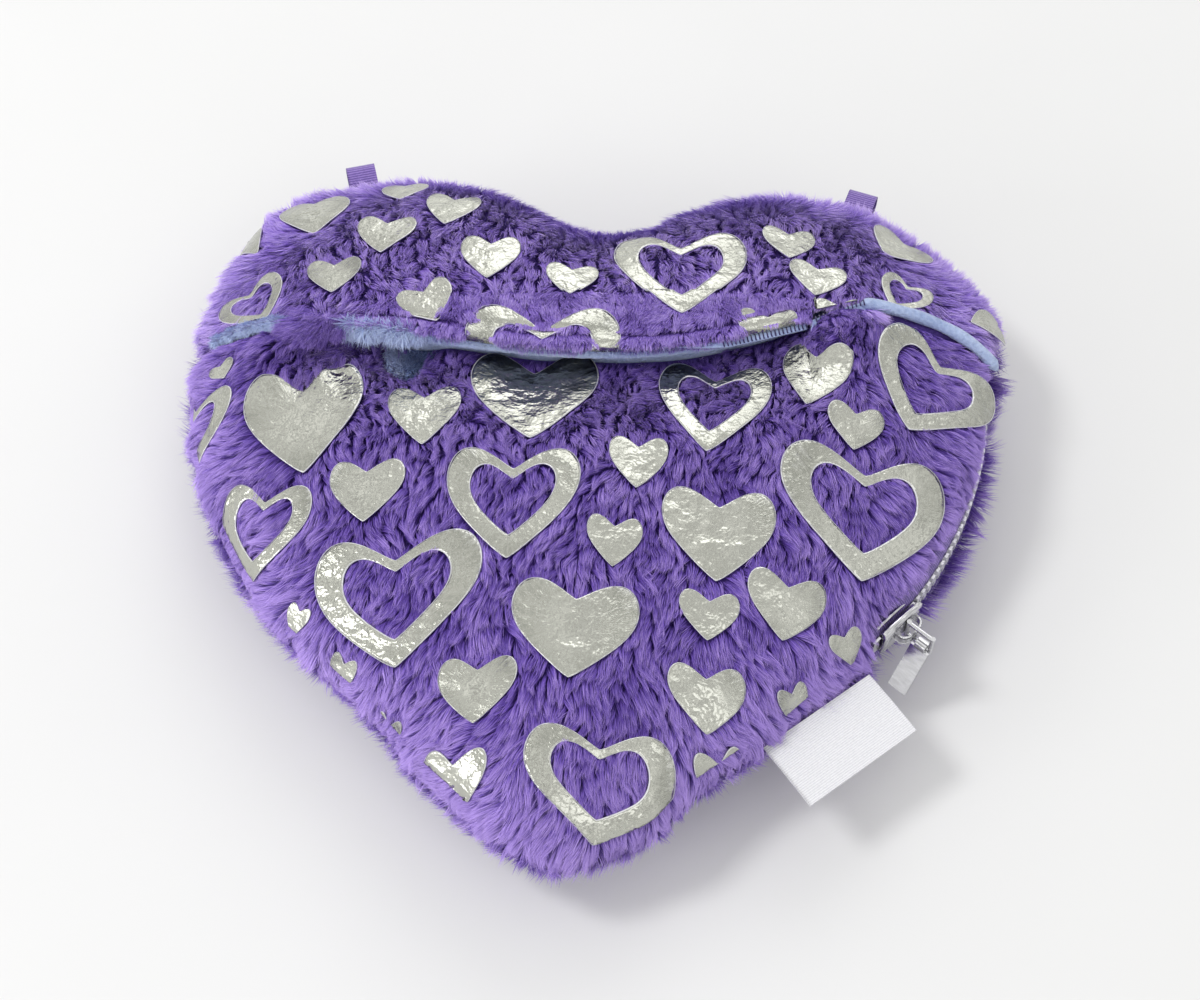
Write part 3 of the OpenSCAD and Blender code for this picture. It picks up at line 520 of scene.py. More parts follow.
def skin_material(name, dark, mid):
    """Woven backing seen between the strands."""
    look = Look(name, {"Roughness": 0.8})
    fine = look.noise(900.0, 3.0)
    look.colour(fine, (0.3, dark), (0.7, mid))
    look.bump(fine, 0.6, 0.0008)
    return look.mat


def foil_material(name):
    """Pressed foil: a mirror with fine wrinkles, painted shade in its creases, a tone painted darker than
    bare foil as a painted reflection of dim surroundings, and a painted highlight as a pale line along its
    outline.
    """
    look = Look(name, {})
    # The pale, less metallic line along each heart's outline is a painted highlight on the foil's raised edge
    line = look.spread(look.attribute("edge"), 0.62, 0.8)
    patches = look.spread(look.noise(55.0, 1.0), 0.42, 0.62, 0.15, 1.0)
    rays = look.noise(1.0, 4.0, at=look.attribute("spoke", "Vector"), Roughness=0.65)
    creases_and_shade = look.math("MULTIPLY", rays, look.math("MULTIPLY", patches, look.attribute("outwards")))
    # The wrinkles are real bumps; their dark colour is painted shade, and the whole tone is painted darker
    # than bare foil as a painted reflection of dim surroundings
    tone = look.ramp(creases_and_shade, (0.0, (0.5, 0.505, 0.455)), (0.38, (0.36, 0.365, 0.325)),
                     (0.62, (0.56, 0.565, 0.53)))
    base = look.add("Mix", "Result", {"Factor": line, "A": tone, "B": (0.78, 0.78, 0.8, 1)}, data_type="RGBA")
    look.feed({"Base Color": base, "Metallic": look.spread(line, 0.0, 1.0, 1.0, 0.45),
               "Roughness": look.spread(line, 0.0, 1.0, 0.2, 0.4)})
    look.bump(look.noise(150.0, 3.0, Roughness=0.55), 0.7, 0.0022)
    look.bump(creases_and_shade, 0.9, 0.0009)
    look.bump(look.noise(800.0, 3.0, (0.22, 1, 0.6)), 0.3, 0.0003)
    look.bump(look.noise(1300.0), 0.22, 0.0002)
    return look.mat


def fleece_material(name, dark, light):
    look = Look(name, {"Roughness": 0.9, "Sheen Weight": 0.4})
    fine = look.noise(700.0, 4.0)
    half = look.math("MULTIPLY", look.math("ADD", fine, look.noise(60.0)), 0.5)
    look.colour(half, (0.3, dark), (0.7, light))
    look.bump(fine, 0.8, 0.0012)
    return look.mat


def metal_material(name, colour, roughness, metallic=1.0):
    look = Look(name, {"Metallic": metallic, "Roughness": roughness})
    scratches = look.noise(300.0, 3.0, (1, 1, 4))
    shade = tuple(c * 0.8 for c in colour)
    look.colour(scratches, (0.3, shade), (0.7, colour))
    look.bump(scratches, 0.08, 0.0003)
    return look.mat


def woven_material(name, dark, light, pitch, strength=0.6):
    """Ribs across a ribbon, tape or label, one rib per pitch in metres."""
    look = Look(name, {"Roughness": 0.6, "Sheen Weight": 0.2})
    wave = look.math("SINE", look.math("MULTIPLY", look.attribute("rib"), 2 * math.pi / pitch))
    height = look.math("MULTIPLY_ADD", wave, 0.4, look.noise(1500.0))
    look.colour(height, (0.1, dark), (0.9, light))
    look.bump(height, strength, 0.0003)
    return look.mat


# The dark root colour is painted shade deep in the pile, and the light tip colours are painted highlights
ROOT = (0.042, 0.015, 0.19)
# The yoke and flap fur get lighter mid and tip colours than the front and back: painted light, because the
# yoke tilts away from the lamps
fur = {name: fur_material("fur_" + name, ROOT, mid, light) for names, mid, light in (
    (("front", "back"), (0.165, 0.086, 0.485), (0.56, 0.395, 0.9)),
    (("yoke", "flap"), (0.27, 0.155, 0.66), (0.68, 0.52, 0.97))) for name in names}
skin = skin_material("backing", (0.05, 0.025, 0.18), (0.1, 0.055, 0.32))
foil = foil_material("foil")
fleece = fleece_material("fleece", (0.24, 0.32, 0.55), (0.53, 0.63, 0.88))
# The fleece pile's dark root colour is painted shade as well, and its light tip colour a painted highlight
fringe_m = fur_material("fleece_pile", (0.07, 0.12, 0.27), (0.30, 0.40, 0.68), (0.58, 0.68, 0.92))
fleece_smooth = fleece_material("fleece_smooth", (0.28, 0.36, 0.64), (0.5, 0.6, 0.87))
thread = fleece_material("thread", (0.02, 0.015, 0.08), (0.06, 0.045, 0.18))
chrome = metal_material("chrome", (0.66, 0.66, 0.68), 0.12)
teeth_m = metal_material("teeth", (0.9, 0.9, 0.92), 0.3, metallic=0.35)
ribbon_m = woven_material("ribbon", (0.11, 0.06, 0.3), (0.3, 0.2, 0.55), 0.0009)
label_m = woven_material("label", (0.68, 0.68, 0.71), (0.86, 0.86, 0.88), 0.0007, strength=0.35)
tape_m = woven_material("tape", (0.1, 0.06, 0.25), (0.25, 0.18, 0.48), 0.0008)


def paint(obj, material):
    obj.data.materials.clear()
    obj.data.materials.append(material)


def dress(obj, material, body, slot, *nodes):
    """Gives a piece its material and body, and hides the CAD nodes that it stands in for; slot is not used.
    """
    paint(obj, material)
    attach(obj, body)
    if nodes:
        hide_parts(*nodes)


def thicken(obj, thickness):
    obj.modifiers.new("thick", "SOLIDIFY").thickness = thickness * MM


# The camera stands where the photographer stood
cam_data = bpy.data.cameras.new("camera")
cam = bpy.data.objects.new("camera", cam_data)
bpy.context.scene.collection.objects.link(cam)
cam_data.sensor_width, cam_data.lens = 36.0, 60.0
CAM_AZ, CAM_EL, CAM_DIST = math.radians(3.5), math.radians(58), 0.640
aim = Vector((0.004, -0.0033, 0.030))
back = Vector((math.sin(CAM_AZ) * math.cos(CAM_EL), -math.cos(CAM_AZ) * math.cos(CAM_EL), math.sin(CAM_EL)))
cam.location = aim + back * CAM_DIST
cam.rotation_euler = back.to_track_quat("Z", "Y").to_euler()
bpy.context.scene.camera = cam

# Heights of the cloth and the foil over the CAD's surface, and of the slot about the seam
SKIN, FLAP_SKIN = -3.6, -1.6
FOIL, FLAP_FOIL = -1.0, 0.1
SLOT_LOW, SLOT_TOP = 4.8, 4.6


def on_flank(v):
    """Bearing in degrees and distance from the flank's centre, and height over the seam."""
    r, a = polar(v[:, :2], flank)
    return np.degrees(a), r, v[:, 2] - SEAM_Z


def in_slot(v):
    """True for places in the zip's slot on the right flank."""
    a, r, z = on_flank(v)
    return (a > ZIP_FROM - 0.4) & (a < ZIP_TO + 1.2) & (r > ZIP_R - 12) & (z > -SLOT_LOW) & (z < SLOT_TOP)


def slot_near(v):
    """1 at the slot's rims, fading to 0 around them."""
    a, r, z = on_flank(v)
    ends = np.clip((a - ZIP_FROM + 2) / 3, 0, 1) * np.clip((ZIP_TO + 4 - a) / 3, 0, 1)
    rise = np.clip(1 - (np.abs(z) - 5) / 14, 0, 1)
    return ends * rise**1.2 * (r > ZIP_R - 16)


# Where the pile is cut away for the slider and its tab: degrees up the flank, degrees down it and
# height over the seam, the last two above and below it, and depth
BARE_UP, BARE_DOWN, BARE_RISE, BARE_DEPTH = 4.9, (4.4, 6.5), (8.5, 12), 9


def by_slider(v):
    """True beside the slider at rest."""
    a, r, z = on_flank(v)
    high, a = z > 0, a - SLIDER_AT
    return ((a < BARE_UP) & (-a < np.where(high, *BARE_DOWN)) & (r > ZIP_R - BARE_DEPTH)
            & (np.abs(z) < np.where(high, *BARE_RISE)))


def bend(x):
    """How far the piping's line lies above the CAD's straight one."""
    return band_line(x) - mouth_y(x)


def panel_ok(p):
    return p[:, 1] <= panel_edge_y(p[:, 0]) + bend(p[:, 0])


def yoke_edge(x):
    inner = (x > FLAP_LEFT - FLAP_GAP) & (x < FLAP_RIGHT + FLAP_GAP)
    return np.where(inner, chord_y(x) + 0.15, band_line(x) + CHANNEL)


def yoke_ok(p):
    return p[:, 1] >= yoke_edge(p[:, 0])


def hem_y(x):
    return mouth_y(x) - HEM_OVER


HEM_R, CREASE, FRINGE_LEFT = 2.6, 6.0, -80.0
TO_TIP = np.array([0, -1.0, 0])


def roll_y(x, phi):
    """Unrolled place of an angle round the hem's roll."""
    return hem_y(x) + HEM_R - HEM_R * phi


def roll_angle(p):
    return np.clip((hem_y(p[:, 0]) + HEM_R - p[:, 1]) / HEM_R, 0, math.pi)


def flap_surface(p, offset):
    """The flap's outer surface, which rolls under at the hem; p below the roll line wraps round it."""
    start, phi = hem_y(p[:, 0]) + HEM_R, roll_angle(p)
    q = np.column_stack([p[:, 0], np.where(phi > 0, start - HEM_R * np.sin(phi), p[:, 1])])
    pos, n = surface("front", np.column_stack([p[:, 0], np.maximum(p[:, 1], start)]))
    down = unit(on_plane(TO_TIP, n))
    c, s = np.cos(phi)[:, None], np.sin(phi)[:, None]
    m = n * c + down * s
    base = pos + (down * s - n * (1 - c)) * HEM_R
    crease = 1.0 * np.exp(-(((q[:, 1] - hem_y(q[:, 0]) - CREASE) / 1.2) ** 2))
    return base + m * (offset + relief(q) * np.cos(phi) * 0.7 - crease)[:, None], m


# Skins: base surface points, normals and faces, from which the strands grow
skins = {}


def add_skin(name, kind, c, allowed, around, steps):
    p, quads, tris = fan(c, lambda a: reach_to(c, allowed, a), around, steps)
    pos, n = surface(kind, p)
    lift = RELIEFS[kind](p)
    if kind == "back":
        quads, tris = quads[:, ::-1], tris[:, ::-1]
    else:
        lift = lift - 6.0 * slot_near(pos)
    v = pos + n * (SKIN + lift)[:, None]
    if kind == "back":
        v[:, 2] = np.maximum(v[:, 2], 0.8)
    bad = in_slot(pos)
    quads, tris = quads[~bad[quads].any(1)], tris[~bad[tris].any(1)]
    skins[name] = (p, n, v, quads, tris)
    return build(name, v, quads, tris)


def everywhere(p):
    return np.ones(len(p), bool)


front_skin = add_skin("front_cloth", "panel", patch, panel_ok, 420, 90)
yoke_skin = add_skin("yoke_cloth", "front", yoke_c, yoke_ok, 420, 60)
back_skin = add_skin("back_cloth", "back", crown, everywhere, 360, 60)

COLS = 170
fx = np.linspace(FLAP_LEFT, FLAP_RIGHT, COLS)


def flap_grid(rows, top, low):
    t = np.linspace(0, 1, rows)[:, None]
    return np.stack([np.broadcast_to(fx, (rows, COLS)), top * (1 - t) + low * t], -1).reshape(-1, 2)


fp = flap_grid(46, chord_y(fx) - 0.3, roll_y(fx, math.pi))
flap_v, flap_n = flap_surface(fp, FLAP_SKIN)
flap_q = grid_quads(46, COLS)
flap_skin = build("flap_cloth", flap_v, flap_q)
skins["flap_cloth"] = (fp, flap_n, flap_v, flap_q, np.zeros((0, 3), int))

for obj, nodes, body, slot in (
    (front_skin, ("front_panel", "front_wadding"), "root", "fur_front"),
    (yoke_skin, ("yoke_panel", "yoke_wadding"), "root", "fur_yoke"),
    (back_skin, ("back_panel", "back_wadding"), "root", "fur_back"),
    (flap_skin, ("front_flap",), "flap", "fur_flap"),
):
    dress(obj, skin, body, slot, *nodes)


# Strands
def sample(name, count, rng):
    """Random places spread evenly over a skin: plan place, surface place, normal."""
    p, n, v, quads, tris = skins[name]
    t = np.concatenate([quads[:, :3], quads[:, [0, 2, 3]], tris])
    a, b, c = v[t[:, 0]], v[t[:, 1]], v[t[:, 2]]
    area = np.linalg.norm(np.cross(b - a, c - a), axis=1) / 2
    pick = np.searchsorted(np.cumsum(area) / area.sum(), rng.uniform(size=count))
    pick = np.minimum(pick, len(t) - 1)
    u, w = rng.uniform(size=count), rng.uniform(size=count)
    flip = u + w > 1
    u, w = np.where(flip, 1 - u, u), np.where(flip, 1 - w, w)
    k = np.column_stack([1 - u - w, u, w])[..., None]
    p, root, n = ((values[t[pick]] * k).sum(1) for values in (p, v, n))
    return p, root, unit(n)


def cell_points(p, size, seed):
    """For each plan point the nearest of a jittered set of points, and two random numbers of it."""
    r = np.random.RandomState(seed)
    jit = r.uniform(0, 1, (128, 128, 4))
    i, j = np.floor(p[:, 0] / size).astype(int), np.floor(p[:, 1] / size).astype(int)
    best = np.full(len(p), 1e9)
    out = np.zeros((len(p), 4))
    for di in (-1, 0, 1):
        for dj in (-1, 0, 1):
            ci, cj = i + di, j + dj
            w = jit[ci % 128, cj % 128]
            c = np.column_stack([(ci + w[:, 0]) * size, (cj + w[:, 1]) * size])
            d = ((c - p) ** 2).sum(1)
            near = d < best
            best = np.where(near, d, best)
            out[near] = np.column_stack([c, w[:, 2:]])[near]
    return out


def rotate_about(v, axis, angle):
    c, s = np.cos(angle)[:, None], np.sin(angle)[:, None]
    return v * c + np.cross(axis, v) * s + axis * (axis * v).sum(-1, keepdims=True) * (1 - c)


# How far a strand's normal leans towards the cloth's, the pile's own lean, and the size of its tufts
SOFT, PILE_LEAN, TUFT, WIDE_TUFT = 0.55, 0.85, 3.0, 8.0
# The foil holds strands this far below itself, and each millimetre beside it lets them rise by FREE
HOLD, FLAP_HOLD, HOLD_REACH, FREE = 0.95, 0.7, 3, 1.1


def hold_in(p, most=FOIL_END):
    s = share(p)
    k = np.minimum(1, most / np.maximum(s, 1e-6))
    return crown + (p - crown) * k[:, None]


def foot(kind, q):
    """Plan places of the cloth under points, which differ from their own where the cloth is steep."""
    p = q[:, :2].copy()
    at = np.flatnonzero(share(p) > 0.8)
    near = hold_in(p[at], 0.98)
    for _ in range(3):
        pos, m = surface(kind, near)
        near = hold_in(q[at, :2] - m[:, :2] * ((q[at] - pos) * m).sum(-1, keepdims=True), 1.0)
    p[at] = near
    return p


def over_cloth(kind, q):
    """Height of points over the outer surface with its relief, and that surface's normals."""
    p = foot(kind, q)
    pos, m = surface(kind, p)
    return ((q - pos) * m).sum(-1) - RELIEFS[kind](p), m


def strands(name, root, n, flow, length, lean, width, rng, clump=None, kind=None, field=None, plan=None,
            drift=None, curl=0.35, tone=0.0, floor=None):
    """Ribbons of one quad and one triangle; flow is a unit tangent, lean the angle off the normal.
    plan and drift place them on the unrolled cloth, where the foil keeps them down."""
    up1, al1 = np.cos(lean) * length * 0.5, np.sin(lean) * length * 0.5
    lean2 = np.minimum(lean + curl, 1.5)
    up2, al2 = up1 + np.cos(lean2) * length * 0.5, al1 + np.sin(lean2) * length * 0.5
    mid = root + n * up1[:, None] + flow * al1[:, None]
    end = root + n * up2[:, None] + flow * al2[:, None]
    if clump is not None:
        pull = on_plane(clump - root, n)
        k = rng.uniform(0.35, 0.8, len(root))[:, None]
        mid = mid + pull * k * 0.35
        end = end + pull * k
    if field is not None:
        for q, al in ((mid, al1), (end, al2)):
            d = look_up(field, foot(kind, q) if plan is None else plan + drift * al[:, None])
            at = np.flatnonzero(d < HOLD_REACH)
            beside = FREE * np.maximum(0, d[at])
            for _ in range(4 if plan is None else 1):
                if plan is None:
                    height, m = over_cloth(kind, q[at])
                else:
                    height, m = ((q[at] - root[at]) * n[at]).sum(-1) + FLAP_SKIN, n[at]
                cap = (FOIL - HOLD if plan is None else FLAP_FOIL - FLAP_HOLD) + beside
                q[at] -= m * np.maximum(0, height - cap)[:, None]
    if floor is not None:
        for q in (mid, end):
            q[:, 2] = np.maximum(q[:, 2], floor)
    d1 = unit(mid - root)
    wide = rotate_about(unit(np.cross(d1, n)), d1, rng.normal(0, 0.5, len(root)))
    face = np.cross(wide, d1)
    out = np.sign((face * n).sum(-1, keepdims=True) + 1e-9)
    wide, face = wide * out, face * out
    w = (width / 2)[:, None]
    verts = np.stack([root - wide * w, root + wide * w, mid - wide * w * 0.85, mid + wide * w * 0.85, end], 1)
    k = np.arange(len(root))[:, None] * 5
    quads = k + np.array([0, 1, 3, 2])
    tris = k + np.array([2, 3, 4])
    obj = build(name, verts.reshape(-1, 3), quads, tris)
    # The pile is lit as a soft nap: each strand's normal leans towards the cloth's own
    soft = unit(SOFT * n + (1 - SOFT) * face)
    obj.data.normals_split_custom_set_from_vertices(np.repeat(soft, 5, axis=0))
    # Each strand's shade runs from painted shade at its root to a painted highlight at its tip
    own = rng.normal(0, 0.11, len(root)) + tone
    shade = np.stack([own, own, own + 0.42, own + 0.42, own + 0.85], 1)
    add_float(obj, "shade", np.clip(shade, 0, 1).ravel())
    return obj


def flow_on(p, n, kind):
    """The pile's lie: towards the tip, outwards near the side seam and away from the gather."""
    out = unit(grad(share, p))
    edge = np.clip((share(p) - 0.74) / 0.24, 0, 1)[:, None]
    lie = np.column_stack([0.12 * noise(p, 40, 11), -np.ones(len(p))])
    d = unit(lie * (1 - edge) + out * edge * 1.2 + 1e-6)
    if kind == "panel":
        far, _ = polar(p, GATHER)
        pull = np.exp(-((far / 22) ** 2))[:, None] * 1.6
        d = unit(d + unit(p - GATHER) * pull)
    a = 0.4 * noise(p, 26, 12) + 0.45 * noise(p, 10, 13) + 0.3 * noise(p, 5, 14)
    c, sn = np.cos(a), np.sin(a)
    d = np.column_stack([d[:, 0] * c - d[:, 1] * sn, d[:, 0] * sn + d[:, 1] * c])
    f = on_plane(np.column_stack([d, np.zeros(len(p))]), n)
    # Past the rim the pile hangs down the side
    down = on_plane(-UP, n)
    steep = np.clip(1 - np.abs(n[:, 2:3]) * 1.6, 0, 1)
    return unit(f + down * steep * 0.8), d


def near_band(p):
    """Distance across the mouth line beside the flap; large elsewhere."""
    beside = (p[:, 0] > FLAP_RIGHT) | (p[:, 0] < FLAP_LEFT - 2)
    return np.where(beside, np.abs(p[:, 1] - band_line(p[:, 0])), 99.0)


# Pile starts this far from the mouth line beside the flap, and reaches this far under the foil
FROM_BAND, UNDER_FOIL = 2.6, 1.2
# For each part its surface, the foil in its pile, and the pile's length
fields = {name: foil_field(rows) for name, rows in HEARTS.items()}
PILES = {"front": ("panel", fields["panel"], 7.2), "yoke": ("front", fields["yoke"], 7.5),
         "flap": ("flap", fields["yoke"], 6.0), "back": ("back", None, 9.0)}


def grow(name, part, count, seed, keep):
    """Covers a part's cloth with pile where keep allows it."""
    kind, field, length = PILES[part]
    rng = np.random.RandomState(seed)
    p, root, n = sample(part + "_cloth", count, rng)
    ok = keep(p, root) & ~by_slider(root)
    if kind != "back":
        ok &= (near_band(p) > FROM_BAND) & (look_up(field, p) > -UNDER_FOIL)
    p, root, n = p[ok], root[ok], n[ok]
    rolled = kind == "flap"
    flow, drift = flow_on(p, n, kind)
    cells = cell_points(p, TUFT, seed + 1)
    wide_cells = cell_points(p, WIDE_TUFT, seed + 2)
    clump = np.column_stack([cells[:, :2], root[:, 2]])
    turn = (cells[:, 2] - 0.5) * 0.7 + (wide_cells[:, 2] - 0.5) * 0.6
    L = length * (0.8 + 0.3 * cells[:, 3]) * rng.uniform(0.75, 1.15, len(p)) * (0.9 + 0.2 * wide_cells[:, 3])
    ln = PILE_LEAN + (cells[:, 3] - 0.5) * 0.25 + rng.normal(0, 0.1, len(p))
    tone = 0.2 * (wide_cells[:, 3] - 0.5) + 0.22 * (cells[:, 3] - 0.5)
    if rolled:
        phi = roll_angle(p)
        flow = rotate_about(down_of(n), n, 0.5 * noise(p, 12, 15))
        L = L * (1 - 0.42 * np.clip(phi + 0.6, 0, 1))
        ln = np.where(phi > 0, ln * np.clip(1 - 0.6 * phi, 0.25, 1), ln)
        seam = np.exp(-(((p[:, 1] - hem_y(p[:, 0]) - CREASE) / 0.9) ** 2))
        # Along the crease line the pile is shorter and painted darker: painted shade in the crease
        L, tone = L * (1 - 0.6 * seam), tone - 0.3 * seam
        clump = None
    if kind == "panel":
        # Under the flap the pile is shorter and painted darker, as painted shade under the hem; round the
        # gather it is painted darker, as painted shade in the folds
        under = np.exp(-np.maximum(0, panel_edge_y(p[:, 0]) - p[:, 1]) / 6) * by_flap(p[:, 0], 8)
        far, _ = polar(p, GATHER)
        tone = tone - 0.14 * under - 0.2 * np.exp(-((far / 14) ** 2))
        L = L * (1 - 0.25 * under) * (1 - 0.55 * mound(p, (73.0, 40.0), 10.0))
    flow = rotate_about(flow, n, turn)
    beside = slot_near(root)
    edge = np.clip((share(p) - 0.84) / 0.16, 0, 1)
    # Pile near the rim is painted lighter: painted light where the strands at the silhouette catch the light
    tone = tone + 0.34 * edge
    L = L * (1 + 0.1 * edge)
    if kind == "back":
        L, ln = L * (1 - 0.15 * beside), ln - 0.4 * beside
    else:
        L = L * (1 - 0.7 * beside)
        L = L * np.clip(near_band(p) / 6, 0.5, 1)
    w = rng.uniform(0.16, 0.3, len(p))
    obj = strands(name, root, n, flow, L, ln, w, rng, clump=clump, kind=kind, field=field,
                  plan=p if rolled else None, drift=drift, tone=tone, floor=0.3 if kind == "back" else None)
    dress(obj, fur[part], "flap" if rolled else "root", "fur_" + part)


def down_of(n):
    """Along the cloth towards the hem and round its roll."""
    across = np.array([1.0, 0, 0])
    t = np.cross(n, across)
    return unit(t * -np.sign(t[:, 1:2] - 2 * (n[:, 1:2] < -0.9) * t[:, 2:3] + 1e-9))


def wide_fringe(x):
    """1 where the hem's light-blue underside shows wide, at its left."""
    return np.clip((-46 - x) / 12, 0, 1) * (x > FRINGE_LEFT)


def off_fringe(p, root):
    return roll_angle(p) < 3.2 - 2.1 * wide_fringe(p[:, 0])


def in_rows(low, high):
    return lambda p, root: (p[:, 1] > low) & (p[:, 1] <= high) & (hollow(p) < 0.55) & ~tongue(p)


def at_height(low, high):
    return lambda p, root: (root[:, 2] > low) & (root[:, 2] <= high)


def beside_middle(side):
    return lambda p, root: side * p[:, 0] > 0


ROWS = (-200, -75, -50, -27, -4, 12, 200)
for i, (low, high) in enumerate(zip(ROWS, ROWS[1:])):
    grow("front_pile_%d" % (i + 1), "front", 330000, 100 + 10 * i, in_rows(low, high))
grow("yoke_pile_left", "yoke", 115000, 200, beside_middle(-1))
grow("yoke_pile_right", "yoke", 115000, 210, beside_middle(1))
grow("flap_pile", "flap", 60000, 300, off_fringe)
grow("back_pile_low", "back", 110000, 400, at_height(1.6, 8))
grow("back_pile", "back", 110000, 405, at_height(8, 17))
grow("side_pile", "back", 170000, 410, at_height(17, 40))


# The foil hearts' meshes
def heart_patch(row):
    """Plan points and faces of one heart, with 1 on the vertices of its outline and 0 inside."""
    outer, inner, place = heart_lines(row)
    if inner is None:
        steps = 16
        shares = (np.arange(1, steps + 1) / steps) ** 0.8
        p = np.concatenate([[place], *[place + s * (outer - place) for s in shares]])
        quads, tris = (np.roll(faces[:, ::-1], 1, axis=1) for faces in disc_faces(HEART_N, steps))
        edge = np.zeros(len(p))
        edge[-HEART_N:] = 1
        return p, quads, tris, edge
    band = 9
    t = np.linspace(0, 1, band)[:, None, None]
    p = (inner[None] * (1 - t) + outer[None] * t).reshape(-1, 2)
    edge = np.repeat(np.array([1.0] + [0.0] * (band - 2) + [1.0]), HEART_N)
    return p, grid_quads(band, HEART_N, wrap=True)[:, ::-1], np.zeros((0, 3), int), edge


def crinkle(p):
    return 0.16 * noise(p, 9.0, 21) + 0.05 * noise(p, 3.0, 22)


def foil_piece(name, rows, kind, clamp, body, node):
    parts, edges, spokes, outwards = [], [], [], []
    for k, row in enumerate(rows):
        p, quads, tris, edge = heart_patch(row)
        q = clamp(p)
        moved = np.abs(q - p).sum(1) > 1e-6
        if kind == "flap":
            v, _ = flap_surface(q, FLAP_FOIL + crinkle(q))
        else:
            v, _ = raised(kind, q, FOIL + RELIEFS[kind](q) + crinkle(q))
        quads, tris = quads[~moved[quads].all(1)], tris[~moved[tris].all(1)]
        if not len(quads):
            continue
        parts.append((v, quads, tris))
        edges.append(edge)
        far, a = polar(p, heart_lines(row)[2])
        spokes.append(np.column_stack([np.cos(a) * 12, np.sin(a) * 12, far * 0.12 + 7.0 * k]))
        outwards.append(np.clip(far / far.max() * 1.3 - 0.3, 0, 1))
    verts, quads, tris = join_parts(parts)
    obj = build(name, verts, quads, tris)
    add_float(obj, "edge", np.concatenate(edges))
    add_float(obj, "outwards", np.concatenate(outwards))
    attribute = obj.data.attributes.new("spoke", "FLOAT_VECTOR", "POINT")
    attribute.data.foreach_set("vector", np.concatenate(spokes).astype(np.float32).ravel())
    thicken(obj, 0.4)
    dress(obj, foil, body, "foil", node)


def clamp_panel(p):
    q = hold_in(p)
    return np.column_stack([q[:, 0], np.minimum(q[:, 1], panel_edge_y(q[:, 0]) - 0.4)])


def clamp_yoke(p):
    q = hold_in(p)
    return np.column_stack([q[:, 0], np.maximum(q[:, 1], yoke_edge(q[:, 0]) + 0.05)])


def clamp_flap(p):
    x = np.clip(p[:, 0], FLAP_LEFT + 1, FLAP_RIGHT - 1)
    return np.column_stack([x, np.clip(p[:, 1], hem_y(x) - 2.4, chord_y(x) - 0.05)])


def crosses_flap(row):
    x, y = heart_lines(row)[0].T
    return ((x > FLAP_LEFT) & (x < FLAP_RIGHT) & (y > hem_y(x)) & (y < chord_y(x))).any()


flap_rows = [row for row in HEARTS["yoke"] if crosses_flap(row)]
yoke_rows = [row for row in HEARTS["yoke"] if heart_lines(row)[0][:, 1].max() > chord_y(0)]
foil_piece("foil_hearts_front", HEARTS["panel"], "panel", clamp_panel, "root", "foil_front")
foil_piece("foil_hearts_yoke", yoke_rows, "front", clamp_yoke, "root", "foil_yoke")
foil_piece("foil_hearts_flap", flap_rows, "flap", clamp_flap, "flap", "foil_flap")


# Light-blue fleece: piping beside the flap, the hem's underside, and the pocket's inside
def piping_path(x, lift):
    p = np.column_stack([x, band_line(x)])
    return raised("front", p, lift + relief(p) * 0.8)


def piping(x0, x1, lift, radius):
    steps = 80
    x = np.linspace(x0, x1, steps)
    r = radius * (1 + 0.05 * np.sin(x * 0.5))
    taper = np.clip(np.minimum(np.arange(steps), np.arange(steps)[::-1]) / 4 + 0.3, 0, 1)
    return tube(piping_path(x, lift)[0], r * taper, 16)


LEFT_LIFT = -2.6
pipes = build("side_piping", *join_parts([piping(-124.5, FLAP_LEFT - 5, LEFT_LIFT, 1.0),
                                          piping(FLAP_RIGHT + 16, 128.5, -0.6, PIPING / 2)]))
dress(pipes, fleece, "root", "fleece", "yoke_piping")

x = np.linspace(FLAP_LEFT + 2, FLAP_RIGHT - 2, 120)
path, _ = raised("front", np.column_stack([x, hem_y(x) + 1.6]), -7.2)
hem_cord = build("hem_piping", *tube(path, 1.2 + 0.1 * np.sin(x * 1.3), 12))
dress(hem_cord, fleece, "flap", "fleece", "flap_piping")


def inner_cloth(name, faces, thickness, node, size, rests_on, body="root"):
    """A stretched fleece sheet; size, the rectangle in millimetres that its cut fits, is not used."""
    obj = build(name, *faces)
    thicken(obj, thickness)
    dress(obj, fleece, body, "fleece", node)


def lining(name, kind, c, allowed, depth, *cloth):
    p, quads, tris = fan(c, lambda a: np.minimum(reach_to(c, allowed, a), rim(c, a, 8.0)), 160, 30)
    v, _ = raised(kind, p, 0.4 * noise(p, 18, 31) - depth)
    inner_cloth(name, (v, quads[:, ::-1], tris[:, ::-1]), 1.2, *cloth)


lining("pocket_front_lining", "panel", patch, panel_ok, 11.5, "pocket_lining_front", (262, 185),
       "front_cloth")
lining("yoke_inner_lining", "front", yoke_c, yoke_ok, 12.0, "yoke_lining", (262, 120), "yoke_cloth")
lining("main_lining", "back", crown, everywhere, 11.5, "back_lining", (270, 255), "back_cloth")

p, quads, tris = fan(crown, lambda a: rim(crown, a, 17.5), 160, 24)
for name, z, node in (("main_divider", 39.8, "main_partition"), ("pocket_back", 41.4, "pocket_partition")):
    v = np.column_stack([p, z + 0.25 * noise(p, 30, 33)])
    inner_cloth(name, (v, quads, tris), 1.0, node, (240, 225), "main_lining")

p = flap_grid(14, chord_y(fx) - 1.5, hem_y(fx) + 1.4)
v, _ = raised("front", p, -6.9 - 0.25 * noise(p, 12, 35))
inner_cloth("flap_underside", (v, grid_quads(14, COLS)[:, ::-1]), 1.0, "flap_lining", (172, 38), "flap_cloth",
            "flap")


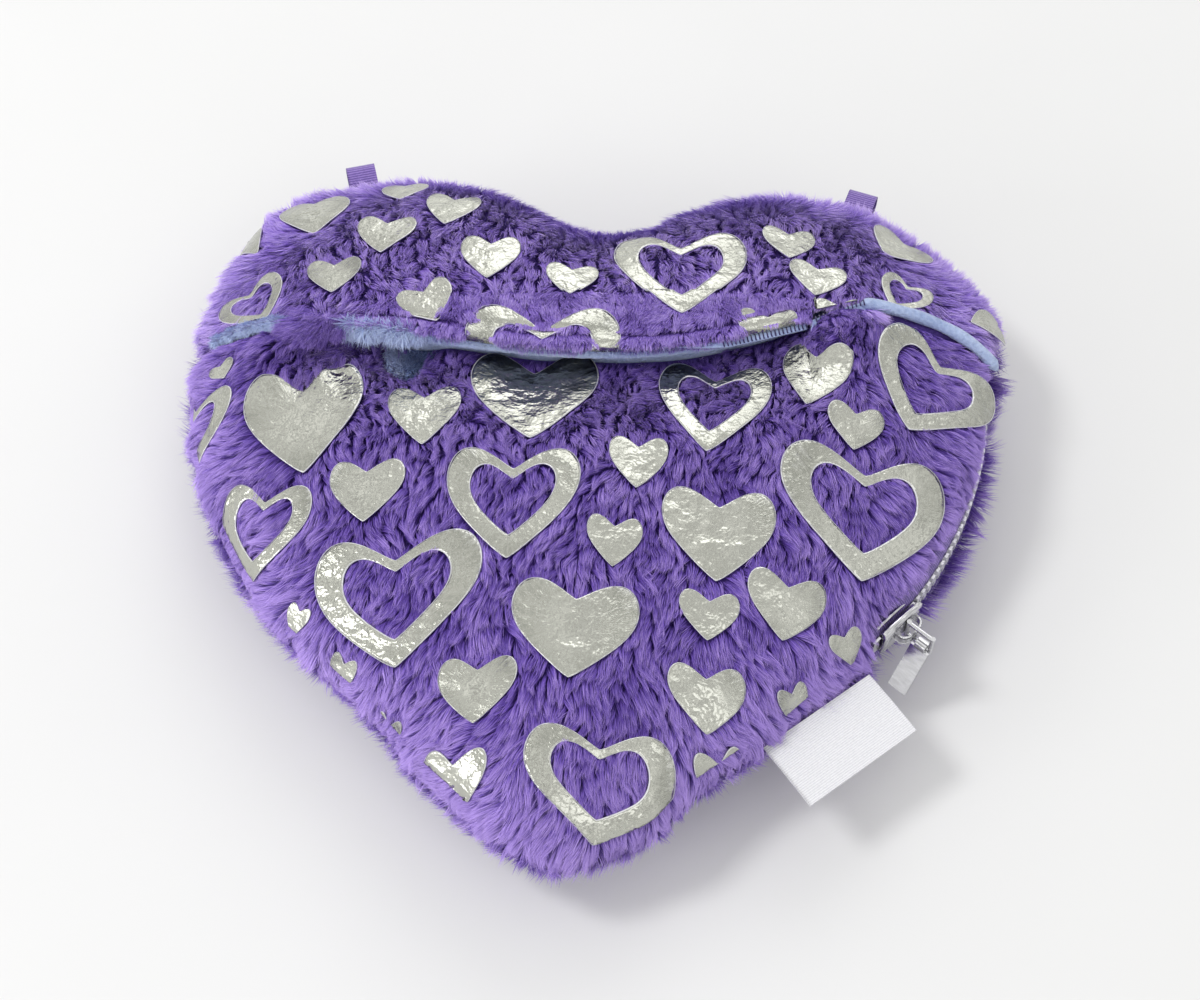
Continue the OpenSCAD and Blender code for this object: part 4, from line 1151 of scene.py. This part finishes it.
# Cloth edges of the mouth
def edge_strip(name, kind, inset, edge, d0, d1, *cloth):
    x = np.linspace(FLAP_LEFT + inset, FLAP_RIGHT - inset, 120)
    pos, n = surface(kind, np.column_stack([x, edge(x)]))
    depths = np.linspace(d0, d1, 8)
    v = np.concatenate([pos + n * (d + 0.2 * math.sin(i * 1.7)) for i, d in enumerate(depths)])
    inner_cloth(name, (v, grid_quads(8, 120)), 0.9, *cloth)


edge_strip("panel_edge_binding", "panel", 4, lambda x: panel_edge_y(x) + 0.3, -1.5, -11.0,
           "panel_binding", (170, 12.5), "front_cloth")
edge_strip("yoke_edge_facing", "front", 1.5, lambda x: chord_y(x) - 0.4, -8.0, -16.0,
           "yoke_facing", (170, 11), "yoke_cloth")


# Shaggy fleece under the hem: it starts on the underside of the roll and stands out past the pile
def uneven(x, size, seed, low=0.5, high=1.4):
    """A factor that changes along the hem from tuft to tuft."""
    wave = noise(np.column_stack([x, np.zeros(len(x))]), size, seed)
    return low + (high - low) * np.clip(0.5 + 0.7 * wave, 0, 1)


rng = np.random.RandomState(500)
count = 46000
x = FRINGE_LEFT + (FLAP_RIGHT - 2 - FRINGE_LEFT) * rng.uniform(0, 1, count) ** 1.25
wide = wide_fringe(x)
phi = rng.uniform(1.8 - 0.75 * wide, 2.9, count)
p = np.column_stack([x, roll_y(x, phi)])
root, n = flap_surface(p, FLAP_SKIN)
flow = rotate_about(down_of(n), n, rng.normal(0, 1.0, count))
fade = np.clip((FLAP_RIGHT - x) / 50, 0.3, 1) * (0.6 + 0.7 * wide)
length = rng.uniform(2.2, 5.6, count) * fade * uneven(x, 2.2, 51, 0.75, 1.25)
fringe = strands("hem_fringe", root, n, -flow, length, rng.uniform(0.1, 1.0, count),
                 rng.uniform(0.2, 0.36, count), rng, curl=0.3, tone=0.25 + 0.25 * noise(p, 5, 53))
dress(fringe, fringe_m, "flap", "fleece")

# Shaggy fleece on the left piping and in the hollow under the hem
x = rng.uniform(-125, FLAP_LEFT - 4, 9000)
path, n = piping_path(x, LEFT_LIFT)
turned = rng.uniform(-1.5, 1.2, len(x))
m = unit(n * np.cos(turned)[:, None] + TO_TIP * np.sin(turned)[:, None])
flow = rotate_about(unit(on_plane(np.array([-0.5, -1.0, 0]), m)), m, rng.normal(0, 0.6, len(x)))
shag = strands("left_piping_pile", path + m * 0.6, m, flow,
               rng.uniform(1.5, 3.4, len(x)) * uneven(x, 2.0, 52, 0.75, 1.25),
               rng.uniform(0.4, 1.1, len(x)), rng.uniform(0.2, 0.36, len(x)), rng, tone=0.42)
dress(shag, fringe_m, "root", "fleece")

p, root, n = sample("front_cloth", 700000, rng)
ok = (hollow(p) >= 0.45) | tongue(p)
p, root, n = p[ok], root[ok], n[ok]
flow = flow_on(p, n, "panel")[0]
# The hollow's pile is painted darker towards its right, as painted shade in the recess, and the tongue is
# painted lighter, as painted light against the hem's shadow
hollow_shade_tongue_light = np.where(tongue(p), -0.55, 0.6 * np.clip((p[:, 0] + 64) / 7, 0, 1))
pool = strands("hollow_pile", root, n, rotate_about(flow, n, rng.normal(0, 0.4, len(p))),
               rng.uniform(2.5, 4.5, len(p)), rng.uniform(0.5, 1.1, len(p)),
               rng.uniform(0.22, 0.36, len(p)), rng, tone=0.22 - hollow_shade_tongue_light)
dress(pool, fringe_m, "root", "fleece")


def tuft(name, part, centre, radii, source, count, length, height, tone, seed, lean=0.75):
    """Long pile that closes the mouth's end, spreading from a source point."""
    rng = np.random.RandomState(seed)
    a, r = rng.uniform(0, 2 * np.pi, count), np.sqrt(rng.uniform(0, 1, count))
    p = np.array(centre) + np.column_stack([np.cos(a), np.sin(a)]) * r[:, None] * np.array(radii)
    root, n = raised("front", p, height + (1 - r) * 1.5 + relief(p))
    flow = unit(on_plane(np.column_stack([unit(p - np.array(source)), np.zeros(count)]), n))
    cells = cell_points(p, TUFT, seed + 1)
    flow = rotate_about(flow, n, (cells[:, 2] - 0.5) * 0.7 + rng.normal(0, 0.15, count))
    clump = np.column_stack([cells[:, :2], root[:, 2]])
    obj = strands(name, root, n, flow, length * rng.uniform(0.75, 1.15, count) * (0.8 + 0.4 * cells[:, 3]),
                  lean + rng.normal(0, 0.12, count), rng.uniform(0.18, 0.34, count), rng, clump=clump,
                  tone=tone + 0.12 * (cells[:, 3] - 0.5))
    dress(obj, fur[part], "root", "fur_" + part)


tuft("gather_tuft", "front", (-89.0, 38.0), (9.0, 6.0), (-88.0, 46.0), 15000, 7.5, -4.6, -0.08, 600)
tuft("right_tuft", "yoke", (84.0, 51.5), (4.0, 1.8), (80.0, 58.0), 1100, 6.5, -2.8, 0.25, 610, lean=1.05)


# Overlocked edge at the right of the mouth: a smooth facing with dark stitches along it
def smooth_edge(name, x0, x1, where, body):
    x = np.linspace(x0, x1, 60)
    top, n = where(x)
    ts = np.linspace(0, 1, 6)
    down = np.array([0, -1.0, -0.25])
    drops = 3.2 * np.clip((x - 22) / 20, 0.15, 1)[:, None]
    v = np.concatenate([top + (down - n * 0.12) * t * drops - n * 0.5 * t for t in ts])
    obj = build(name, v, grid_quads(6, 60))
    thicken(obj, 0.9)
    dress(obj, fleece_smooth, body, "fleece")
    stitches = []
    for x in np.arange(max(x0, 40.0) + 0.6, x1 - 0.4, 1.25):
        q, m = where(np.array([x, x + 0.55]))
        a, b = q[0] + m[0] * 0.75 + np.array([0, 0.5, 0]), q[1] + m[1] * 0.75 + down * 1.5
        stitches.append(tube(np.array([a, (a + b) / 2 + m[0] * 0.2, b]), 0.26, 6))
    sewn = build(name + "_stitches", *join_parts(stitches))
    dress(sewn, thread, body, "fleece")


def flap_hem(x):
    return flap_surface(np.column_stack([x, roll_y(x, 1.75)]), FLAP_SKIN + 1.4)


def yoke_hem(x):
    low = np.clip((84 - x) / 16, 0, 1)
    p = np.column_stack([x, mouth_y(x) + 0.4 - 2.0 * low])
    return raised("front", p, relief(p) * 0.8 - 0.2 - 1.6 * low)


smooth_edge("flap_facing_edge", 22.0, FLAP_RIGHT - 0.6, flap_hem, "flap")
smooth_edge("yoke_facing_edge", FLAP_RIGHT + 0.6, 86.0, yoke_hem, "root")


# Care label
def ribbon(name, path, side, width, thick, cross):
    """A strip along a path, cross points wide; its rib attribute runs along the path in metres."""
    side = unit(side)
    up = unit(np.cross(side, unit(np.gradient(path, axis=0))))
    run = np.concatenate([[0], np.cumsum(np.linalg.norm(np.diff(path, axis=0), axis=1))])
    n, m = len(path), len(path) * cross
    grid = path[:, None] + np.linspace(-0.5, 0.5, cross)[None, :, None] * width * side
    verts = np.concatenate([(grid + s * up[:, None] * thick / 2).reshape(-1, 3) for s in (1, -1)])
    q = grid_quads(n, cross)
    ring = ([i * cross for i in range(n)] + [(n - 1) * cross + j for j in range(1, cross)]
            + [i * cross + cross - 1 for i in range(n - 2, -1, -1)] + list(range(cross - 2, 0, -1)))
    edge = [(a, b, b + m, a + m) for a, b in zip(ring, ring[1:] + ring[:1])]
    obj = build(name, verts, np.concatenate([q, q[:, ::-1] + m, np.array(edge)]))
    add_float(obj, "rib", np.tile(np.repeat(run, cross), 2) * MM)
    return obj


LABEL_W, LABEL_REACH, DROOP = 41.0, 22.0, math.radians(5)
along_seam = np.array([side_n[1], -side_n[0], 0.0])
label_at = flank + (FLANK_R + 0.7) * side_n - 8.0 * along_seam[:2]
out_dir = np.array([*side_n * math.cos(DROOP), -math.sin(DROOP)])
s = np.linspace(0, LABEL_REACH, 40)
label_path = (np.array([*label_at, SEAM_Z]) + along_seam * LABEL_W / 2 + s[:, None] * out_dir
              + np.outer(0.35 * np.sin(s / LABEL_REACH * math.pi), UP))
label = ribbon("care_tag", label_path, along_seam, LABEL_W, 0.7, 40)
dress(label, label_m, "label", "label", "care_label")


# Strap loops
def loop(name, side, tilt, body, node):
    """A ribbon that leaves the seam, turns over and comes back: a teardrop ring."""
    a = np.linspace(-math.pi / 2, math.pi / 2, 26)
    r, turn = (LOOP_H - 1.0) / 2, LOOP_REACH - LOOP_H / 2
    arc = np.column_stack([turn + r * np.cos(a), r * np.sin(a)])
    reach = np.linspace(0.6, turn, 14)[:-1]
    k = np.clip((reach - 0.6) / 4.0, 0, 1)
    k = k * k * (3 - 2 * k)
    half = np.column_stack([reach, 0.3 + (r - 0.3) * k])
    u, v = np.concatenate([half * [1, -1], arc, half[::-1]]).T
    ct, st = math.cos(tilt), math.sin(tilt)
    out = np.array([math.cos(LOOP_ANGLE), math.sin(LOOP_ANGLE)])
    base = lobe + (LOBE_R + CLOTH_GAP) * out
    pts = np.column_stack([base + (u * ct - v * st)[:, None] * out, SEAM_Z + u * st + v * ct])
    pts[:, 0] *= side
    obj = ribbon(name, pts, np.array([-side * out[1], out[0], 0.0]), LOOP_W, 0.9, 12)
    dress(obj, ribbon_m, body, "ribbon", node)


loop("left_strap_loop", -1, math.radians(15), "loop_left", "strap_loop_left")
loop("right_strap_loop", 1, 0.0, "loop_right", "strap_loop_right")


# Zip tapes
def around_flank(a, z, r):
    """Points at a bearing and distance from the flank's centre."""
    a, z, r = np.broadcast_arrays(a, z, r)
    return np.stack([flank[0] + r * np.cos(a), flank[1] + r * np.sin(a), z], -1)


def tape(name, side, radii, node):
    """One tape; radii are its points' distances past the chain's middle, from the teeth outwards."""
    steps = 90
    a = np.radians(np.linspace(ZIP_FROM, ZIP_TO, steps))
    line = zip(radii, np.linspace(1.9, 6.6, 6))
    v = np.concatenate([around_flank(a, SEAM_Z + side * z, ZIP_R + r) for r, z in line])
    obj = build(name, v, grid_quads(6, steps)[:, ::-side])
    add_float(obj, "rib", np.tile(a * ZIP_R * MM, 6))
    thicken(obj, 0.7)
    dress(obj, tape_m, "root", "zip_tape", node)


tape("tape_front", 1, (0, 0, -0.4, -1.2, -2.4, -3.8), "zip_tape_front")
tape("tape_back", -1, (0, 0, 0.1, 0.3, 0.8, 1.6), "zip_tape_back")


# The slider: two domed plates with turned lips, joined at the nose, and a bridge for the pull
SLIDER_MID, SLIDER_L = math.radians(SLIDER_AT), 19.0


def on_chain(along, up, radius):
    return around_flank(SLIDER_MID + np.asarray(along) / ZIP_R, SEAM_Z + up, radius)


def plate(foot, top, lip):
    """One boat-shaped plate; foot, top and lip are distances from the chain's middle, outwards."""
    rings = []
    z = np.linspace(-1, 1, 13)
    for u in np.arange(25) / 24:
        half = 5.4 * math.sin(math.pi * min(1, 0.30 + 0.70 * u)) ** 0.7 * (1 - 0.25 * u) + 1.1
        ends = math.sqrt(max(0.0, 1 - abs(2 * u - 1) ** 6))
        crown_r = foot + (top - foot) * np.sqrt(np.maximum(0, 1 - z**4)) * (0.55 + 0.45 * ends)
        under = foot - (top - foot) * 0.15
        ring_z = np.concatenate([z * half, [half, half - 0.8, half - 0.9, 0.9 - half, 0.8 - half, -half]])
        ring_r = np.concatenate([crown_r, [lip, lip, under, under, lip, lip]])
        rings.append(on_chain((u - 0.5) * SLIDER_L, ring_z, ZIP_R + ring_r))
    rings = np.array(rings)
    return closed(rings, rings[[0, -1]].mean(1))


slider = build("slider_body", *join_parts([plate(1.9, 3.1, 0.7), plate(-1.9, -2.9, -0.7)]))
slider.modifiers.new("round", "BEVEL").width = 0.00018
dress(slider, chrome, "slider", "zip_metal", "zip_slider")
a = np.linspace(-math.pi / 2, math.pi / 2, 15)
rise = np.maximum(0, np.cos(a)) ** 0.5 * 4.0
bridge = ribbon("slider_bridge", on_chain(4.6 * np.sin(a), 0.0, ZIP_R + 2.9 + rise), UP, 2.8, 0.9, 6)
dress(bridge, chrome, "slider", "zip_metal")

for name in ("zip_teeth_front", "zip_teeth_back"):
    paint(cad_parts[name], teeth_m)
for name in ("zip_top_stops", "zip_bottom_stop", "pull_link", "pull_tab"):
    paint(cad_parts[name], chrome)
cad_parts["pull_tab"].modifiers.new("round", "BEVEL").width = 0.0003

# Floor and light
FLOOR_REACH = 3000
stone = Look("floor", {"Roughness": 0.95})
stone.colour(stone.noise(8.0), (0.3, (0.785, 0.785, 0.78)), (0.7, (0.8, 0.8, 0.795)))
corners = np.array([[-1, -1, 0], [1, -1, 0], [1, 1, 0], [-1, 1, 0]])
floor = build("floor", FLOOR_REACH * corners, np.array([[0, 1, 2, 3]]))
paint(floor, stone.mat)


def lamp(name, place, size, power, mirrored=True):
    data = bpy.data.lights.new(name, "AREA")
    data.shape, data.size, data.energy = "DISK", size, power
    obj = bpy.data.objects.new(name, data)
    bpy.context.scene.collection.objects.link(obj)
    obj.location = place
    obj.rotation_euler = (Vector(place) - Vector((0, 0, 0.03))).to_track_quat("Z", "Y").to_euler()
    obj.visible_glossy = mirrored


lamp("key", (-1.2, -0.1, 2.0), 0.55, 17.0, mirrored=False)
lamp("fill", (0.9, -1.4, 1.8), 1.4, 5.0)
lamp("side", (-1.6, -0.9, 0.6), 0.8, 7.5)
lamp("back", (0.2, 1.7, 1.7), 1.4, 8.0)

world = bpy.data.worlds.new("world")
bpy.context.scene.world = world
world.use_nodes = True
wt = world.node_tree
light = wt.nodes["Background"]
feed(wt, light, {"Color": (1, 1, 1, 1), "Strength": 0.71})
# The pale room with brighter panes that metal and foil mirror
panes = add_node(wt, "TexNoise", {"Vector": add_node(wt, "TexCoord").outputs["Generated"], "Scale": 4.0,
                                  "Detail": 2.0})
bright = add_node(wt, "MapRange", {"Value": panes.outputs["Fac"], "From Min": 0.42, "From Max": 0.6,
                                   "To Min": 0.62, "To Max": 1.5})
room = add_node(wt, "Background", {"Color": (1, 1, 0.99, 1), "Strength": bright.outputs["Result"]})
seen = add_node(wt, "Background", {"Color": (0.93, 0.93, 0.925, 1)})
path = add_node(wt, "LightPath")
shown = light.outputs[0]
for kind, shader in (("Is Transmission Ray", seen), ("Is Glossy Ray", room), ("Is Camera Ray", seen)):
    shown = add_node(wt, "MixShader", {0: path.outputs[kind], 1: shown, 2: shader.outputs[0]}).outputs[0]
feed(wt, wt.nodes["World Output"], {"Surface": shown})

bpy.context.scene.view_settings.view_transform = "Standard"
